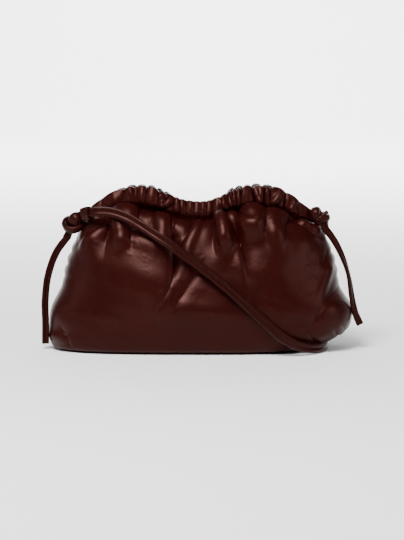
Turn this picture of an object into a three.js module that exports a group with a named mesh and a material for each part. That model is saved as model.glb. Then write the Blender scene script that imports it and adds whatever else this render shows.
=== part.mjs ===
// A gathered leather pouch bag: two soft panels on a flat base, a ruffled casing round the
// mouth, and a knotted leather strap. Millimetres, +Z up, the front faces -Y, floor at Z 0.
import * as THREE from "three";

// Driving dimensions.
const HALF_WIDTH = 138; // middle to the fullest point of a side
const HALF_DEPTH = 56; // middle to the fullest point of the front or the back
const TALL = 155; // what every height share refers to, a little above the highest ruffle
const LIP_HALF_DEPTH = 12; // middle to the outside of the lip
const LEATHER = 1.8; // wall of the panels and the strap loops
const CASING_WALL = 3; // wall of the casing, which is leather folded double
const BASE_WALL = 2; // wall of the base
const PLEAT_DEPTH = 5; // how far the fullest ruffle stands out of the casing
const CASING_BULGE = 2.5; // how far the casing's middle bulges between its seam and its lip
const PUCKER_DEPTH = 1.6; // how far the puckers beside the side seams stand out
const PUCKER_PITCH = 11; // along the side seams
const PUCKERS = { from: 0.36, to: 0.74, fade: 0.08 }; // where they begin and end, shares of TALL
const GAP = 0.35; // left between pieces that touch
const SEAT = 1; // left between the casing and the panels where both turn the end of the mouth

// The strap is folded leather, flat in section.
const STRAP_WIDTH = 8.6;
const STRAP_THICK = 4.4;
const TAIL_WIDTH = 6.6;
const TAIL_THICK = 3.4;
const LOOP_LENGTH = 7;
const LOOP_CLEARANCE = 0.7; // round the strap, inside a loop

// How finely the surfaces are cut.
const FRONT_GRID = { columns: 52, rows: 18 };
const BACK_GRID = { columns: 40, rows: 13 };
const FRONT_CASING_GRID = { columns: 86, rows: 3 };
const BACK_CASING_GRID = { columns: 68, rows: 3 };
const SECTION_SIDES = 8;

const LEATHER_LOOK = { color: 0x4a1710, roughness: 0.42, metalness: 0 };

// Rows with named columns, from lists of numbers.
const table = (columns, rows) =>
  rows.map((row) => Object.fromEntries(row.map((value, i) => [columns[i], value])));

// Sections of the body from the floor to the neck seam. up runs 0 to 1 along the leather,
// rise is a share of the neck's height, left and right of HALF_WIDTH, and front and back of
// HALF_DEPTH. square is the exponent of the section: 2 is an ellipse and more is boxier.
const SECTIONS = [
  { up: 0, rise: 0.012, left: 0.93, right: 0.71, front: 0.84, back: 0.86, square: 3.2 },
  { up: 0.05, rise: 0.03, left: 0.975, right: 0.75, front: 0.92, back: 0.93, square: 3.1 },
  { up: 0.11, rise: 0.09, left: 1, right: 0.83, front: 0.97, back: 0.98, square: 3 },
  { up: 0.2, rise: 0.17, left: 1, right: 0.95, front: 1, back: 1.01, square: 2.9 },
  { up: 0.33, rise: 0.33, left: 0.99, right: 0.99, front: 1.02, back: 1.04, square: 2.7 },
  { up: 0.47, rise: 0.5, left: 0.93, right: 0.92, front: 0.98, back: 1, square: 2.5 },
  { up: 0.62, rise: 0.69, left: 0.885, right: 0.885, front: 0.86, back: 0.88, square: 2.4 },
  { up: 0.76, rise: 0.86, left: 0.83, right: 0.835, front: 0.69, back: 0.71, square: 2.3 },
  { up: 0.87, rise: 0.985, left: 0.79, right: 0.795, front: 0.51, back: 0.52, square: 2.2 },
  { up: 0.94, rise: 1.02, left: 0.775, right: 0.775, front: 0.39, back: 0.39, square: 2.1 },
  { up: 1, rise: 1, left: 0.76, right: 0.76, front: 0.3, back: 0.3, square: 2 },
];
const NECK = SECTIONS[SECTIONS.length - 1];

// The neck seam and the lip above it, in height shares, from the left end to the right.
const NECK_LINE = [
  { across: -0.77, seam: 0.74, lip: 0.8 },
  { across: -0.7, seam: 0.755, lip: 0.855 },
  { across: -0.58, seam: 0.78, lip: 0.92 },
  { across: -0.45, seam: 0.795, lip: 0.947 },
  { across: -0.34, seam: 0.785, lip: 0.94 },
  { across: -0.25, seam: 0.765, lip: 0.915 },
  { across: -0.12, seam: 0.74, lip: 0.878 },
  { across: 0, seam: 0.732, lip: 0.868 },
  { across: 0.1, seam: 0.745, lip: 0.885 },
  { across: 0.22, seam: 0.775, lip: 0.93 },
  { across: 0.35, seam: 0.79, lip: 0.948 },
  { across: 0.5, seam: 0.77, lip: 0.937 },
  { across: 0.6, seam: 0.735, lip: 0.895 },
  { across: 0.7, seam: 0.71, lip: 0.83 },
  { across: 0.77, seam: 0.71, lip: 0.785 },
];

// Puffs of the front panel below the casing: from and to across, how far each one's top
// rises over the seam, how far it stands out, and how far down it reaches.
const FRONT_PUFFS = [
  { from: -0.8, to: -0.61, rise: -0.02, out: 0.11, reach: 0.22 },
  { from: -0.59, to: -0.415, rise: 0.018, out: 0.13, reach: 0.16 },
  { from: -0.415, to: -0.31, rise: -0.02, out: 0.07, reach: 0.06 },
  { from: -0.31, to: -0.2, rise: -0.012, out: 0.08, reach: 0.09 },
  { from: -0.2, to: 0.075, rise: -0.02, out: 0.09, reach: 0.16 },
  { from: 0.075, to: 0.235, rise: 0.01, out: 0.14, reach: 0.14 },
  { from: 0.235, to: 0.408, rise: 0.018, out: 0.15, reach: 0.12 },
  { from: 0.41, to: 0.54, rise: 0.005, out: 0.12, reach: 0.13 },
  { from: 0.54, to: 0.8, rise: -0.02, out: 0.1, reach: 0.12 },
];
const BACK_PUFFS = [
  { from: -0.8, to: -0.6, rise: -0.02, out: 0.1, reach: 0.2 },
  { from: -0.6, to: -0.44, rise: 0, out: 0.12, reach: 0.14 },
  { from: -0.44, to: -0.27, rise: 0.01, out: 0.14, reach: 0.18 },
  { from: -0.27, to: -0.15, rise: -0.01, out: 0.09, reach: 0.1 },
  { from: -0.15, to: 0.09, rise: -0.02, out: 0.1, reach: 0.2 },
  { from: 0.09, to: 0.22, rise: 0, out: 0.1, reach: 0.12 },
  { from: 0.22, to: 0.42, rise: 0.012, out: 0.14, reach: 0.17 },
  { from: 0.42, to: 0.58, rise: 0, out: 0.11, reach: 0.13 },
  { from: 0.58, to: 0.8, rise: -0.02, out: 0.1, reach: 0.2 },
];

// Folds. Each runs from (u0, w0) to (u1, w1), in shares of the half width and of TALL, and
// bows to its right by bow. wide0 and wide1 are its reach to each side at its two ends, lean
// makes its right side gentler and its left steeper, and out0 and out1 are shares of
// HALF_DEPTH, a ridge above 0 and a valley below.
const FOLD = ["u0", "w0", "u1", "w1", "bow", "wide0", "wide1", "lean", "out0", "out1"];
const FRONT_FOLDS = table(FOLD, [
  [-0.645, 0.77, -0.79, 0.65, 0, 0.03, 0.05, 0, 0.06, 0.03],
  [-0.63, 0.73, -0.8, 0.61, 0, 0.02, 0.03, 0, -0.03, -0.01],
  [-0.6, 0.725, -0.78, 0.61, 0, 0.03, 0.05, 0, 0.04, 0.02],
  [-0.595, 0.79, -0.64, 0.62, -0.01, 0.022, 0.05, 0, -0.12, 0],
  [-0.545, 0.77, -0.525, 0.66, 0, 0.035, 0.045, 0, 0.07, 0.06],
  [-0.525, 0.66, -0.3, 0.635, -0.01, 0.05, 0.07, 0, 0.04, 0.07],
  [-0.47, 0.71, -0.46, 0.65, 0, 0.035, 0.035, 0, -0.09, -0.03],
  [-0.45, 0.5, -0.33, 0.45, 0, 0.22, 0.18, 0, 0.09, 0.1],
  [-0.19, 0.67, -0.285, 0.26, -0.045, 0.03, 0.04, -0.6, -0.17, -0.02],
  [-0.15, 0.59, -0.17, 0.44, 0, 0.04, 0.04, 0, -0.08, -0.02],
  [-0.1, 0.58, -0.27, 0.26, 0, 0.03, 0.04, 0, 0.03, 0.05],
  [-0.03, 0.48, -0.19, 0.25, 0, 0.03, 0.035, 0, -0.05, -0.02],
  [-0.12, 0.26, 0.12, 0.25, 0, 0.08, 0.09, 0, 0.07, 0.06],
  [-0.24, 0.74, -0.19, 0.69, 0, 0.07, 0.07, 0, 0.05, 0.05],
  [-0.05, 0.76, -0.12, 0.63, 0, 0.025, 0.03, 0, -0.06, -0.02],
  [0, 0.755, -0.09, 0.63, 0, 0.022, 0.03, 0, 0.05, 0.03],
  [0.06, 0.7, 0.06, 0.55, 0, 0.06, 0.06, 0, 0.04, 0.02],
  [0.095, 0.8, 0.125, 0.65, 0.01, 0.02, 0.025, 0.3, -0.1, -0.05],
  [0.14, 0.79, 0.155, 0.675, 0, 0.045, 0.04, 0, 0.08, 0.09],
  [0.16, 0.79, 0.295, 0.3, -0.05, 0.03, 0.05, 0, -0.17, -0.02],
  [0.135, 0.64, 0.14, 0.48, 0, 0.04, 0.05, 0, 0.04, 0],
  [0.23, 0.65, 0.31, 0.3, 0, 0.03, 0.035, 0, 0.05, 0.02],
  [0.29, 0.8, 0.3, 0.79, 0, 0.035, 0.035, 0, -0.14, -0.14],
  [0.3, 0.755, 0.36, 0.775, 0, 0.02, 0.02, 0, 0.05, 0.03],
  [0.36, 0.73, 0.62, 0.62, 0, 0.06, 0.08, 0, 0.08, 0.05],
  [0.5, 0.48, 0.6, 0.38, 0, 0.2, 0.2, 0, 0.08, 0.07],
  [0.54, 0.775, 0.66, 0.73, -0.01, 0.018, 0.018, 0, 0.07, 0.06],
  [0.66, 0.725, 0.8, 0.69, 0, 0.018, 0.02, 0, 0.06, 0.03],
  [0.55, 0.75, 0.8, 0.65, 0, 0.02, 0.025, 0, -0.06, -0.03],
  [0.838, 0.6, 0.8, 0.52, 0, 0.02, 0.02, 0, -0.02, -0.02],
  [0.84, 0.48, 0.78, 0.37, 0, 0.03, 0.03, 0, 0.05, 0.03],
  [0.93, 0.375, 0.7, 0.17, 0.02, 0.03, 0.045, 0.4, -0.05, -0.03],
  [0.86, 0.22, 0.9, 0.2, 0, 0.11, 0.1, 0, 0.05, 0.05],
  [0.935, 0.13, 0.985, 0.19, 0.01, 0.015, 0.015, 0, -0.03, -0.02],
  [0.63, 0.2, 0.65, 0.19, 0, 0.035, 0.03, 0, -0.03, -0.03],
  [0.71, 0.11, 0.72, 0.1, 0, 0.03, 0.03, 0, -0.03, -0.03],
  [-0.97, 0.08, -0.91, 0.085, 0, 0.03, 0.03, 0, 0.03, 0.03],
  [-0.91, 0.13, -0.87, 0.06, -0.01, 0.02, 0.02, 0, -0.025, -0.02],
]);
const BACK_FOLDS = table(FOLD, [
  [-0.62, 0.76, -0.76, 0.5, 0.02, 0.025, 0.05, 0.2, -0.1, -0.03],
  [-0.68, 0.72, -0.84, 0.52, 0, 0.04, 0.07, 0, 0.07, 0.021],
  [-0.44, 0.78, -0.5, 0.42, 0.02, 0.025, 0.05, 0, -0.13, -0.039],
  [-0.36, 0.7, -0.36, 0.4, 0, 0.07, 0.12, 0, 0.1, 0.03],
  [-0.26, 0.79, -0.2, 0.3, -0.02, 0.025, 0.05, -0.2, -0.14, -0.042],
  [-0.05, 0.68, 0, 0.4, 0, 0.08, 0.14, 0, 0.08, 0.024],
  [0.1, 0.78, 0.06, 0.55, 0, 0.025, 0.04, 0.2, -0.1, -0.03],
  [0.22, 0.78, 0.3, 0.36, 0.03, 0.025, 0.05, 0.2, -0.15, -0.045],
  [0.38, 0.66, 0.5, 0.42, 0, 0.08, 0.14, 0, 0.1, 0.03],
  [0.43, 0.79, 0.5, 0.62, 0, 0.025, 0.04, 0, -0.1, -0.03],
  [0.6, 0.76, 0.76, 0.46, -0.02, 0.025, 0.05, -0.2, -0.11, -0.033],
  [0.7, 0.72, 0.85, 0.5, 0, 0.04, 0.07, 0, 0.07, 0.021],
  [-0.95, 0.3, -0.62, 0.14, 0.03, 0.03, 0.05, 0.3, -0.08, -0.024],
  [-0.25, 0.22, 0.3, 0.2, 0.03, 0.08, 0.1, 0, 0.07, 0.021],
]);

// Ruffles of the front casing. Each spans footFrom to footTo at the seam and tipFrom to tipTo
// at the lip, in shares of the half width, and out is a share of PLEAT_DEPTH.
const RUFFLE = ["footFrom", "footTo", "tipFrom", "tipTo", "out"];
const FRONT_PLEATS = table(RUFFLE, [
  [-0.8, -0.66, -0.8, -0.66, 0.35],
  [-0.66, -0.535, -0.66, -0.505, 0.5],
  [-0.535, -0.45, -0.505, -0.44, 0.6],
  [-0.45, -0.405, -0.44, -0.42, 0.6],
  [-0.405, -0.394, -0.42, -0.357, 0.95],
  [-0.394, -0.3, -0.357, -0.278, 1],
  [-0.3, -0.275, -0.278, -0.235, 0.8],
  [-0.275, -0.2, -0.235, -0.175, 0.9],
  [-0.2, -0.148, -0.175, -0.144, 0.8],
  [-0.148, -0.1, -0.144, -0.1, 0.6],
  [-0.1, -0.05, -0.1, -0.05, 0.55],
  [-0.05, -0.01, -0.05, -0.01, 0.5],
  [-0.01, 0.035, -0.01, 0.035, 0.5],
  [0.035, 0.07, 0.035, 0.07, 0.5],
  [0.07, 0.16, 0.07, 0.125, 0.9],
  [0.16, 0.2, 0.125, 0.165, 0.8],
  [0.2, 0.226, 0.165, 0.2, 0.85],
  [0.226, 0.235, 0.2, 0.23, 0.85],
  [0.235, 0.25, 0.23, 0.262, 0.8],
  [0.25, 0.36, 0.262, 0.335, 1],
  [0.36, 0.4, 0.335, 0.415, 0.8],
  [0.4, 0.44, 0.415, 0.452, 0.85],
  [0.44, 0.53, 0.452, 0.555, 0.9],
  [0.53, 0.63, 0.555, 0.65, 0.6],
  [0.63, 0.8, 0.65, 0.8, 0.35],
]);
// Where the back casing's ruffles part at the lip, seen from the front. At the seam they part
// a little further from the middle, and they stand out by turns.
const BACK_PARTINGS = [
  -0.8, -0.66, -0.58, -0.5, -0.43, -0.36, -0.298, -0.248, -0.2, -0.15, -0.1, -0.05, 0, 0.05,
  0.11, 0.165, 0.22, 0.275, 0.33, 0.4, 0.48, 0.56, 0.65, 0.8,
];
const BACK_PLEATS = { spread: 1.04, least: 0.7 };

// The strap's route on the outside of the bag, chosen by hand: out of the left loop, across
// the front to the floor, round the foot of the right side, along the floor behind and back,
// and up the back to the right loop.
const STRAP_ROUTE = [
  [-111.5, -17.5, 121.5],
  [-104, -26.5, 125],
  [-96, -31.5, 127],
  [-86, -34, 127.5],
  [-76, -37, 126],
  [-66, -40.5, 122.5],
  [-54, -44, 116],
  [-40, -51, 107.5],
  [-26, -54.5, 98.5],
  [-12, -56, 88.5],
  [2, -58, 78.5],
  [16, -60, 67.5],
  [30, -61, 55.5],
  [44, -61.5, 42.5],
  [58, -61.5, 29.5],
  [72, -60.5, 17.5],
  [87, -55, 9],
  [100, -46, 5.5],
  [109, -35, 5],
  [113.5, -22, 5],
  [114.5, -4, 5],
  [113.5, 16, 5],
  [109, 36, 5],
  [99, 54, 5],
  [82, 66, 5],
  [60, 72, 5],
  [34, 74, 5],
  [6, 74.5, 5],
  [-22, 75.5, 5],
  [-48, 77.5, 5],
  [-66, 81, 5],
  [-76, 90, 5],
  [-68, 100, 5],
  [-48, 104, 5],
  [-18, 104.5, 5],
  [14, 103, 5.5],
  [46, 97, 10],
  [74, 85, 26],
  [94, 66, 50],
  [105, 47, 76],
  [112, 31, 98],
  [115.5, 20, 110],
  [116, 11, 117],
  [115, 3.5, 122],
  [112.5, -5.5, 124.5],
];
const STRAP_STEPS = 64;
// Where along the strap the two loops hold it, as shares of its length.
const LOOP_AT = { left: 0.009, right: 0.982 };
const TAIL_LEFT_ROUTE = [
  [-120.9, -14, 104.2],
  [-132, -15.5, 89],
  [-139.5, -18.5, 68],
  [-142.5, -18.5, 44],
  [-142.3, -18, 26],
  [-142.8, -17.5, 9.5],
];
const TAIL_RIGHT_ROUTE = [
  [110.9, -11.2, 112.6],
  [119.5, -13.5, 101.5],
  [126.5, -15, 90],
  [132.5, -16.5, 78],
  [136.8, -18.5, 66],
  [139.8, -19, 50],
  [142.6, -19, 35],
  [146.3, -18.5, 24],
];
const TAIL_STEPS = 10;
// The knots, with half their height.
const KNOTS = {
  left: { size: 10.5, at: [-120.3, -14.3, 115.5] },
  right: { size: 8, at: [110, -11, 121.5] },
};
const KNOT_STEPS = 26;

const clamp01 = (x) => Math.min(1, Math.max(0, x));
const ease = (a, b, x) => {
  const s = clamp01((x - a) / (b - a));
  return s * s * (3 - 2 * s);
};
const mix = (a, b, s) => a + (b - a) * s;

// A column of a table at a place between its rows, on a smooth curve through them.
function follow(rows, key, column, at) {
  const last = rows.length - 1;
  const x = Math.min(rows[last][key], Math.max(rows[0][key], at));
  let i = 0;
  while (i < last - 1 && rows[i + 1][key] <= x) i++;
  const slope = (k) => {
    const a = rows[Math.max(0, k - 1)];
    const b = rows[Math.min(last, k + 1)];
    return (b[column] - a[column]) / (b[key] - a[key]);
  };
  const [p, q] = [rows[i], rows[i + 1]];
  const h = q[key] - p[key];
  const s = (x - p[key]) / h;
  const [s2, s3] = [s * s, s * s * s];
  return (
    (2 * s3 - 3 * s2 + 1) * p[column] +
    (s3 - 2 * s2 + s) * h * slope(i) +
    (3 * s2 - 2 * s3) * q[column] +
    (s3 - s2) * h * slope(i + 1)
  );
}

// A point of a rounded section, as shares of its half width and half depth, at an angle from
// its right end round the front.
function roundedSection(angle, square) {
  const [c, s] = [Math.cos(angle), Math.sin(angle)];
  const size = (Math.abs(c) ** square + Math.abs(s) ** square) ** (1 / square);
  return [c / size, s / size];
}

// The angle at a share of the way from the left end to the right, so that columns lie evenly
// along the leather of the body.
const ANGLE_SAMPLES = 360;
const MIDDLE_SQUARE = 2.6;
const evenAngles = (() => {
  const table = [{ way: 0, angle: Math.PI }];
  let [px, py] = [-HALF_WIDTH, 0];
  for (let i = 1; i <= ANGLE_SAMPLES; i++) {
    const angle = Math.PI * (1 - i / ANGLE_SAMPLES);
    const [x, y] = roundedSection(angle, MIDDLE_SQUARE);
    const step = Math.hypot(x * HALF_WIDTH - px, y * HALF_DEPTH - py);
    table.push({ way: table[i - 1].way + step, angle });
    [px, py] = [x * HALF_WIDTH, y * HALF_DEPTH];
  }
  const whole = table[ANGLE_SAMPLES].way;
  return table.map((row) => ({ way: row.way / whole, angle: row.angle }));
})();
function angleAt(way) {
  const i = evenAngles.findIndex((row) => row.way >= way);
  if (i <= 0) return Math.PI;
  const [a, b] = [evenAngles[i - 1], evenAngles[i]];
  return mix(a.angle, b.angle, (way - a.way) / (b.way - a.way));
}

// How far the leather stands out at a place, from a table of folds.
const SHARE_RATIO = TALL / HALF_WIDTH;
const FINEST_FOLD = 0.042; // what the grid can show; a narrower fold is drawn wider and lower
const FOLD_END = 1.6; // how far a fold runs out beyond its ends, in its own widths
const VALLEY_FALL = 1.3; // how steeply a valley's sides rise
const VALLEY_SOFT = 0.08; // how round its bottom is
function foldRelief(folds, u, w) {
  let sum = 0;
  for (const f of folds) {
    const [dx, dz] = [f.u1 - f.u0, (f.w1 - f.w0) * SHARE_RATIO];
    const length = Math.hypot(dx, dz);
    const [px, pz] = [u - f.u0, (w - f.w0) * SHARE_RATIO];
    const along = (px * dx + pz * dz) / (length * length);
    const within = clamp01(along);
    const beyond = (along - within) * length;
    const across = (px * dz - pz * dx) / length - f.bow * 4 * within * (1 - within);
    const stated = mix(f.wide0, f.wide1, within);
    const shown = Math.max(stated, FINEST_FOLD);
    const wide = shown * (1 + f.lean * Math.sign(across));
    const ends = Math.exp(-((beyond / (FOLD_END * stated)) ** 2));
    const out = (mix(f.out0, f.out1, within) * stated) / shown;
    const far = (across / wide) ** 2;
    // A valley is sharper than a ridge.
    const fall = out < 0 ? VALLEY_FALL * (Math.sqrt(far + VALLEY_SOFT) - Math.sqrt(VALLEY_SOFT)) : far;
    sum += out * Math.exp(-fall) * ends;
  }
  return sum;
}

// The rounded profile of a puff or a ruffle: 1 in its middle, and it meets its neighbour steeply.
const plump = (f) => Math.sqrt(Math.max(0, 1 - f * f));

function puffAt(puffs, u) {
  for (const p of puffs) {
    const f = (2 * (u - p.from)) / (p.to - p.from) - 1;
    if (Math.abs(f) <= 1) return { ...p, full: plump(f) };
  }
  return { rise: 0, out: 0, reach: 1, full: 0 };
}

// One face of the body. side is -1 for the front and 1 for the back, mirror turns the shares
// round for the back, which is laid out as it is seen from behind.
const FRONT = { side: -1, depth: "front", folds: FRONT_FOLDS, puffs: FRONT_PUFFS };
const BACK = { side: 1, depth: "back", folds: BACK_FOLDS, puffs: BACK_PUFFS };

// The body's smooth surface, before its folds.
function smoothPoint(face, way, up) {
  const row = (column) => follow(SECTIONS, "up", column, up);
  const [sx, sy] = roundedSection(angleAt(way), row("square"));
  const toNeck = ease(0.94, 1, up);
  const across = -face.side * sx; // from the bag's left, seen from the front
  const x = across * HALF_WIDTH * (across < 0 ? row("left") : row("right"));
  const u = x / HALF_WIDTH;
  const seam = follow(NECK_LINE, "across", "seam", u);
  const middle = follow(NECK_LINE, "across", "seam", 0);
  const puff = puffAt(face.puffs, u * -face.side);
  const rise = puff.rise * puff.full * ease(0.7, 0.92, up) * (1 - toNeck);
  const z = TALL * (row("rise") * mix(middle, seam, ease(0.1, 0.9, up)) + rise);
  return new THREE.Vector3(x, face.side * sy * HALF_DEPTH * row(face.depth), z);
}

// How far the leather stands out of that surface.
function panelRelief(face, way, up, point) {
  const u = (point.x / HALF_WIDTH) * -face.side;
  const w = point.z / TALL;
  const puff = puffAt(face.puffs, u);
  const top = follow(NECK_LINE, "across", "seam", point.x / HALF_WIDTH);
  const puffed = puff.out * puff.full * ease(top - puff.reach, top - puff.reach * 0.25, w);
  const edge = 1 - ease(0.93, 1, up);
  const foot = ease(0, 0.08, up);
  const nearSide = 1 - ease(0, 0.12, Math.min(way, 1 - way));
  const away = 1 - nearSide;
  const pucker =
    PUCKER_DEPTH *
    Math.abs(Math.sin((Math.PI * point.z) / PUCKER_PITCH)) *
    nearSide *
    ease(PUCKERS.from, PUCKERS.from + PUCKERS.fade, w) *
    (1 - ease(PUCKERS.to - PUCKERS.fade, PUCKERS.to, w));
  const folds = foldRelief(face.folds, u, w) * away;
  return (HALF_DEPTH * (folds + puffed * away) + pucker) * edge * foot;
}

const sub = (a, b) => new THREE.Vector3().subVectors(a, b);

// The outward normal of a grid of points at one of them.
function gridNormal(grid, i, j) {
  const [right, left] = [grid[Math.min(i + 1, grid.length - 1)][j], grid[Math.max(i - 1, 0)][j]];
  const [above, below] = [grid[i][Math.min(j + 1, grid[i].length - 1)], grid[i][Math.max(j - 1, 0)]];
  return sub(right, left).cross(sub(above, below)).normalize();
}

// A box cut into a grid, with its front laid on the outer points and its back on the inner.
function wallGeometry(outer, inner) {
  const [columns, rows] = [outer.length - 1, outer[0].length - 1];
  const box = new THREE.BoxGeometry(1, 1, 1, columns, rows, 1);
  const place = box.attributes.position;
  for (let k = 0; k < place.count; k++) {
    const i = Math.round((place.getX(k) + 0.5) * columns);
    const j = Math.round((place.getY(k) + 0.5) * rows);
    const p = (place.getZ(k) > 0 ? outer : inner)[i][j];
    place.setXYZ(k, p.x, p.y, p.z);
  }
  box.computeVertexNormals();
  return box;
}

const gridOf = (columns, rows, point) =>
  Array.from({ length: columns + 1 }, (_, i) =>
    Array.from({ length: rows + 1 }, (_, j) => point(i / columns, j / rows, i, j)),
  );

// Rows lie closer together towards the neck, where the leather is most gathered.
const upAt = (share) => share * (1.25 - 0.25 * share);

function panelGeometry(face, { columns, rows }) {
  const smooth = gridOf(columns, rows, (way, share) => smoothPoint(face, way, upAt(share)));
  const outer = gridOf(columns, rows, (way, share, i, j) => {
    const p = smooth[i][j];
    const out = panelRelief(face, way, upAt(share), p);
    return p.clone().addScaledVector(gridNormal(smooth, i, j), out);
  });
  const sideSeam = (face.side * GAP) / 2;
  const inner = gridOf(columns, rows, (way, share, i, j) => {
    const p = outer[i][j].clone();
    if (j === 0) return p.add(new THREE.Vector3(0, 0, LEATHER));
    if (j === rows) return p.sub(new THREE.Vector3(0, 0, LEATHER));
    return p.addScaledVector(gridNormal(outer, i, j), -LEATHER);
  });
  for (const grid of [outer, inner]) {
    for (const [i, column] of grid.entries()) {
      for (const p of column) {
        const ends = i === 0 || i === columns;
        p.y = ends ? sideSeam : face.side * Math.max(p.y * face.side, GAP / 2);
        p.z = Math.max(p.z, 0.5);
      }
    }
  }
  return wallGeometry(outer, inner);
}

// The ruffles of the back casing, as seen from behind.
const GOLDEN = 0.618034;
const backPleats = BACK_PARTINGS.slice(1).map((to, i) => {
  const [tipFrom, tipTo] = [-to, -BACK_PARTINGS[i]];
  const out = mix(BACK_PLEATS.least, 1, ((i + 1) * GOLDEN) % 1);
  return { footFrom: tipFrom * BACK_PLEATS.spread, footTo: tipTo * BACK_PLEATS.spread, tipFrom, tipTo, out };
});

function pleatRelief(pleats, u, rise) {
  let most = 0;
  for (const p of pleats) {
    const [from, to] = [mix(p.footFrom, p.tipFrom, rise), mix(p.footTo, p.tipTo, rise)];
    most = Math.max(most, p.out * plump((2 * u - from - to) / (to - from)));
  }
  return most;
}

// The casing of one face: from the seam, tucked behind the puffs, up to the lip.
function casingGeometry(face, pleats, { columns, rows }) {
  const halfWidth = HALF_WIDTH * NECK.left - SEAT;
  const halfDepth = HALF_DEPTH * NECK[face.depth] - SEAT;
  const skin = (inset, fullness) =>
    gridOf(columns, rows, (way, rise) => {
      const [sx, sy] = roundedSection(angleAt(way), 2);
      const x = -face.side * sx * halfWidth;
      const u = x / HALF_WIDTH;
      const seam = follow(NECK_LINE, "across", "seam", u) - LEATHER / TALL;
      const lip = follow(NECK_LINE, "across", "lip", u);
      const full = pleatRelief(pleats, -face.side * u, rise);
      const swell = ease(0.22, 0.65, rise) * mix(1, 0.7, ease(0.75, 1, rise));
      const inEnds = ease(0, 0.08, Math.min(way, 1 - way));
      const depth = mix(halfDepth, LIP_HALF_DEPTH, ease(0, 1, rise)) * sy;
      const bulge = CASING_BULGE * Math.sin(Math.PI * rise) * ease(0.22, 0.6, rise);
      const out = depth - inset + (PLEAT_DEPTH * full * swell * fullness + bulge) * inEnds;
      const tip = PLEAT_DEPTH * 0.6 * full * ease(0.6, 1, rise) * inEnds;
      const z = TALL * mix(seam, lip, rise) + tip;
      return new THREE.Vector3(x, face.side * Math.max(out, GAP / 2), z);
    });
  const outer = skin(0, 1);
  const inner = skin(CASING_WALL, 0.5);
  return wallGeometry(outer, inner);
}

// The base, inside the foot of both panels.
function baseGeometry() {
  const shorter = (size) => (size - 2 * GAP) / size;
  const points = [];
  for (const face of [FRONT, BACK]) {
    for (let i = 0; i < FRONT_GRID.columns; i++) {
      const p = smoothPoint(face, i / FRONT_GRID.columns, 0);
      points.push(new THREE.Vector2(p.x * shorter(HALF_WIDTH), p.y * shorter(HALF_DEPTH)));
    }
  }
  return new THREE.ExtrudeGeometry(new THREE.Shape(points), { depth: BASE_WALL, bevelEnabled: false });
}

// A curve for a flat strap. Its normals, which the strap's thickness lies along, are level
// and point away from the bag, or lie as near as they can to one given direction.
class FlatPath extends THREE.CatmullRomCurve3 {
  constructor(route, facing) {
    super(route.map((p) => new THREE.Vector3(...p)));
    this.facing = facing;
  }

  frameAt(share) {
    const tangent = this.getTangentAt(share);
    const normal = this.facing ? this.facing.clone() : new THREE.Vector3(tangent.y, -tangent.x, 0);
    normal.addScaledVector(tangent, -normal.dot(tangent)).normalize();
    return { tangent, normal, binormal: new THREE.Vector3().crossVectors(tangent, normal) };
  }

  computeFrenetFrames(segments) {
    const frames = Array.from({ length: segments + 1 }, (_, i) => this.frameAt(i / segments));
    return {
      tangents: frames.map((f) => f.tangent),
      normals: frames.map((f) => f.normal),
      binormals: frames.map((f) => f.binormal),
    };
  }
}

function ovalSection(thick, wide) {
  const points = Array.from({ length: SECTION_SIDES }, (_, i) => {
    const angle = (2 * Math.PI * (i + 0.5)) / SECTION_SIDES;
    return new THREE.Vector2((Math.cos(angle) * thick) / 2, (Math.sin(angle) * wide) / 2);
  });
  return new THREE.Shape(points);
}

function ribbonGeometry(extrudePath, thick, wide, steps) {
  return new THREE.ExtrudeGeometry(ovalSection(thick, wide), { steps, extrudePath });
}

// An overhand knot pulled snug: a trefoil opened at one place, with its own thickness of cord.
const KNOT_OPEN = 0.3; // half the opening, in radians
const KNOT_REACH = 3; // the trefoil's own half width
const KNOT_FLAT = 1.35; // how far its strands pass over each other, in the same units
const KNOT_CORD = 0.4; // its cord's diameter, a share of the knot's half height
function knotGeometry(size) {
  const unit = (size * (1 - KNOT_CORD / 2)) / KNOT_REACH;
  const points = [];
  for (let i = 0; i <= KNOT_STEPS; i++) {
    const a = mix(KNOT_OPEN, 2 * Math.PI - KNOT_OPEN, i / KNOT_STEPS);
    const across = Math.sin(a) + 2 * Math.sin(2 * a);
    const up = Math.cos(a) - 2 * Math.cos(2 * a);
    points.push(new THREE.Vector3(across, KNOT_FLAT * Math.sin(3 * a), up).multiplyScalar(unit));
  }
  const extrudePath = new THREE.CatmullRomCurve3(points);
  const section = ovalSection(size * KNOT_CORD, size * KNOT_CORD);
  return new THREE.ExtrudeGeometry(section, { steps: KNOT_STEPS, extrudePath });
}

// A loop of leather that holds the strap: a flat ring, drawn out along the strap.
const LOOP_CORNER = 2; // the radius of its corners
function loopGeometry() {
  const ring = (extra) => {
    const [w, t] = [STRAP_THICK / 2 + extra, STRAP_WIDTH / 2 + extra];
    const r = LOOP_CORNER;
    const shape = new THREE.Shape();
    shape.absarc(w - r, t - r, r, 0, Math.PI / 2);
    shape.absarc(-w + r, t - r, r, Math.PI / 2, Math.PI);
    shape.absarc(-w + r, -t + r, r, Math.PI, 1.5 * Math.PI);
    shape.absarc(w - r, -t + r, r, 1.5 * Math.PI, 2 * Math.PI);
    return shape;
  };
  const outside = ring(LOOP_CLEARANCE + LEATHER);
  outside.holes.push(ring(LOOP_CLEARANCE));
  const options = { depth: LOOP_LENGTH, bevelEnabled: false, curveSegments: 2 };
  return new THREE.ExtrudeGeometry(outside, options).translate(0, 0, -LOOP_LENGTH / 2);
}

const bag = new THREE.Group();

function piece(name, geometry) {
  const mesh = new THREE.Mesh(geometry, new THREE.MeshStandardMaterial(LEATHER_LOOK));
  mesh.name = name;
  bag.add(mesh);
  return mesh;
}

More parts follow.
